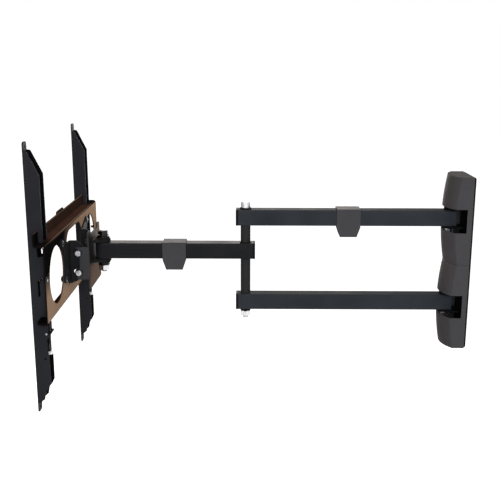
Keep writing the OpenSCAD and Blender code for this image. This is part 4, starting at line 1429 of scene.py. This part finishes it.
@dataclass
class Studio:
    """Camera, soft lamps, pale floor and white surroundings."""

    camera_place: Point = (1.503617, -0.407686, 0.378698)
    pitch: float = 13.5204
    yaw: float = -0.21753
    roll: float = 0.14713
    lens: float = 57.98
    sensor: float = 36.0
    near: float = 0.05
    far: float = 100.0
    middle: Point = (0.0, -0.4, 0.0)
    floor_height: float = -1.1
    floor_reach: float = 14.0
    floor_colour: Colour = (0.9, 0.9, 0.9)
    floor_glow: float = 0.9
    room_light: float = 0.2
    lamps: tuple[Lamp, ...] = (
        Lamp("key", (0.4, -0.4, 2.3), 1.6, 38.0, (1.0, 0.82, 0.68)),
        Lamp("cool_side", (2.7, -0.15, 0.7), 1.2, 50.0, (0.88, 0.95, 1.0)),
        Lamp("warm_side", (-1.6, -1.6, 0.5), 1.4, 2.5, (1.0, 0.62, 0.40)),
        Lamp("far_side", (-2.6, -0.5, 0.3), 1.6, 40.0, (1.0, 0.95, 0.90)),
    )

    def aim(self) -> None:
        """Makes the camera.

        The view direction has a downward pitch and a small yaw from -x; the camera's right
        and up directions are then turned about it by the roll.
        """
        pitch, yaw, roll = (math.radians(a) for a in (self.pitch, self.yaw, self.roll))
        ahead = Vector((-math.cos(pitch) * math.cos(yaw), math.cos(pitch) * math.sin(yaw), -math.sin(pitch)))
        right = ahead.cross(Vector((0, 0, 1))).normalized()
        up = right.cross(ahead)
        sideways = right * math.cos(roll) + up * math.sin(roll)
        upright = -right * math.sin(roll) + up * math.cos(roll)
        data = bpy.data.cameras.new("view")
        data.lens = self.lens
        data.sensor_width = self.sensor
        data.clip_start = self.near
        data.clip_end = self.far
        camera = bpy.data.objects.new("view", data)
        turn = Matrix((sideways, upright, -ahead)).transposed().to_4x4()
        camera.matrix_world = Matrix.Translation(Vector(self.camera_place)) @ turn
        bpy.context.scene.collection.objects.link(camera)
        bpy.context.scene.camera = camera

    def seen(self, tree: bpy.types.NodeTree) -> Socket:
        """Tells the rays of the camera, of reflections and of transmission from those of light.

        Args:
            tree: Node tree that the value is made in.

        Returns:
            1 for those rays and 0 for all others.
        """
        path = tree.nodes.new("ShaderNodeLightPath")
        result = path.outputs["Is Camera Ray"]
        for ray in ("Is Glossy Ray", "Is Transmission Ray"):
            larger = tree.nodes.new("ShaderNodeMath")
            larger.operation = "MAXIMUM"
            tree.links.new(result, larger.inputs[0])
            tree.links.new(path.outputs[ray], larger.inputs[1])
            result = larger.outputs[0]
        return result

    def surround(self) -> None:
        """Makes the world: white to the camera and in reflections, softer as a light."""
        world = bpy.data.worlds.new("surround")
        world.use_nodes = True
        bpy.context.scene.world = world
        tree = world.node_tree
        backdrop = tree.nodes["Background"]
        soft = tree.nodes.new("ShaderNodeBackground")
        for light, strength in ((backdrop, 1.0), (soft, self.room_light)):
            light.inputs["Color"].default_value = (1.0, 1.0, 1.0, 1.0)
            light.inputs["Strength"].default_value = strength
        mix = tree.nodes.new("ShaderNodeMixShader")
        tree.links.new(self.seen(tree), mix.inputs[0])
        tree.links.new(soft.outputs[0], mix.inputs[1])
        tree.links.new(backdrop.outputs[0], mix.inputs[2])
        tree.links.new(mix.outputs[0], tree.nodes["World Output"].inputs["Surface"])

    def pale(self) -> bpy.types.Material:
        """Builds the floor's material: a pale matt one that also glows where it is seen.

        Returns:
            The new material.
        """
        material = bpy.data.materials.new("pale_floor")
        material.use_nodes = True
        tree = material.node_tree
        shader = tree.nodes["Principled BSDF"]
        shader.inputs["Base Color"].default_value = (*self.floor_colour, 1.0)
        shader.inputs["Roughness"].default_value = 0.9
        glow = tree.nodes.new("ShaderNodeEmission")
        lit = tree.nodes.new("ShaderNodeMath")
        lit.operation = "MULTIPLY"
        lit.inputs[1].default_value = self.floor_glow
        tree.links.new(self.seen(tree), lit.inputs[0])
        tree.links.new(lit.outputs[0], glow.inputs["Strength"])
        both = tree.nodes.new("ShaderNodeAddShader")
        tree.links.new(shader.outputs[0], both.inputs[0])
        tree.links.new(glow.outputs[0], both.inputs[1])
        tree.links.new(both.outputs[0], tree.nodes["Material Output"].inputs["Surface"])
        return material

    def floor(self) -> None:
        """Makes a wide floor that keeps a soft shadow."""
        reach = self.floor_reach
        mesh = bpy.data.meshes.new("floor")
        corners = [(-reach, -reach), (reach, -reach), (reach, reach), (-reach, reach)]
        mesh.from_pydata([(x, y, self.floor_height) for x, y in corners], [], [(0, 1, 2, 3)])
        mesh.materials.append(self.pale())
        floor = bpy.data.objects.new("floor", mesh)
        bpy.context.scene.collection.objects.link(floor)

    def build(self) -> None:
        """Makes the whole studio."""
        self.aim()
        self.surround()
        self.floor()
        for lamp in self.lamps:
            lamp.hang(self.middle)
        bpy.context.scene.view_settings.view_transform = "Standard"


def main() -> None:
    """Builds the studio and every sub-assembly."""
    Studio().build()
    for assembly in (WallUnit(), InnerArms(), FrontArm(), SwivelHead(), TiltHead(), ScreenBrackets()):
        assembly.build()


if __name__ == "__main__":
    logging.basicConfig(level=logging.INFO)
    main()
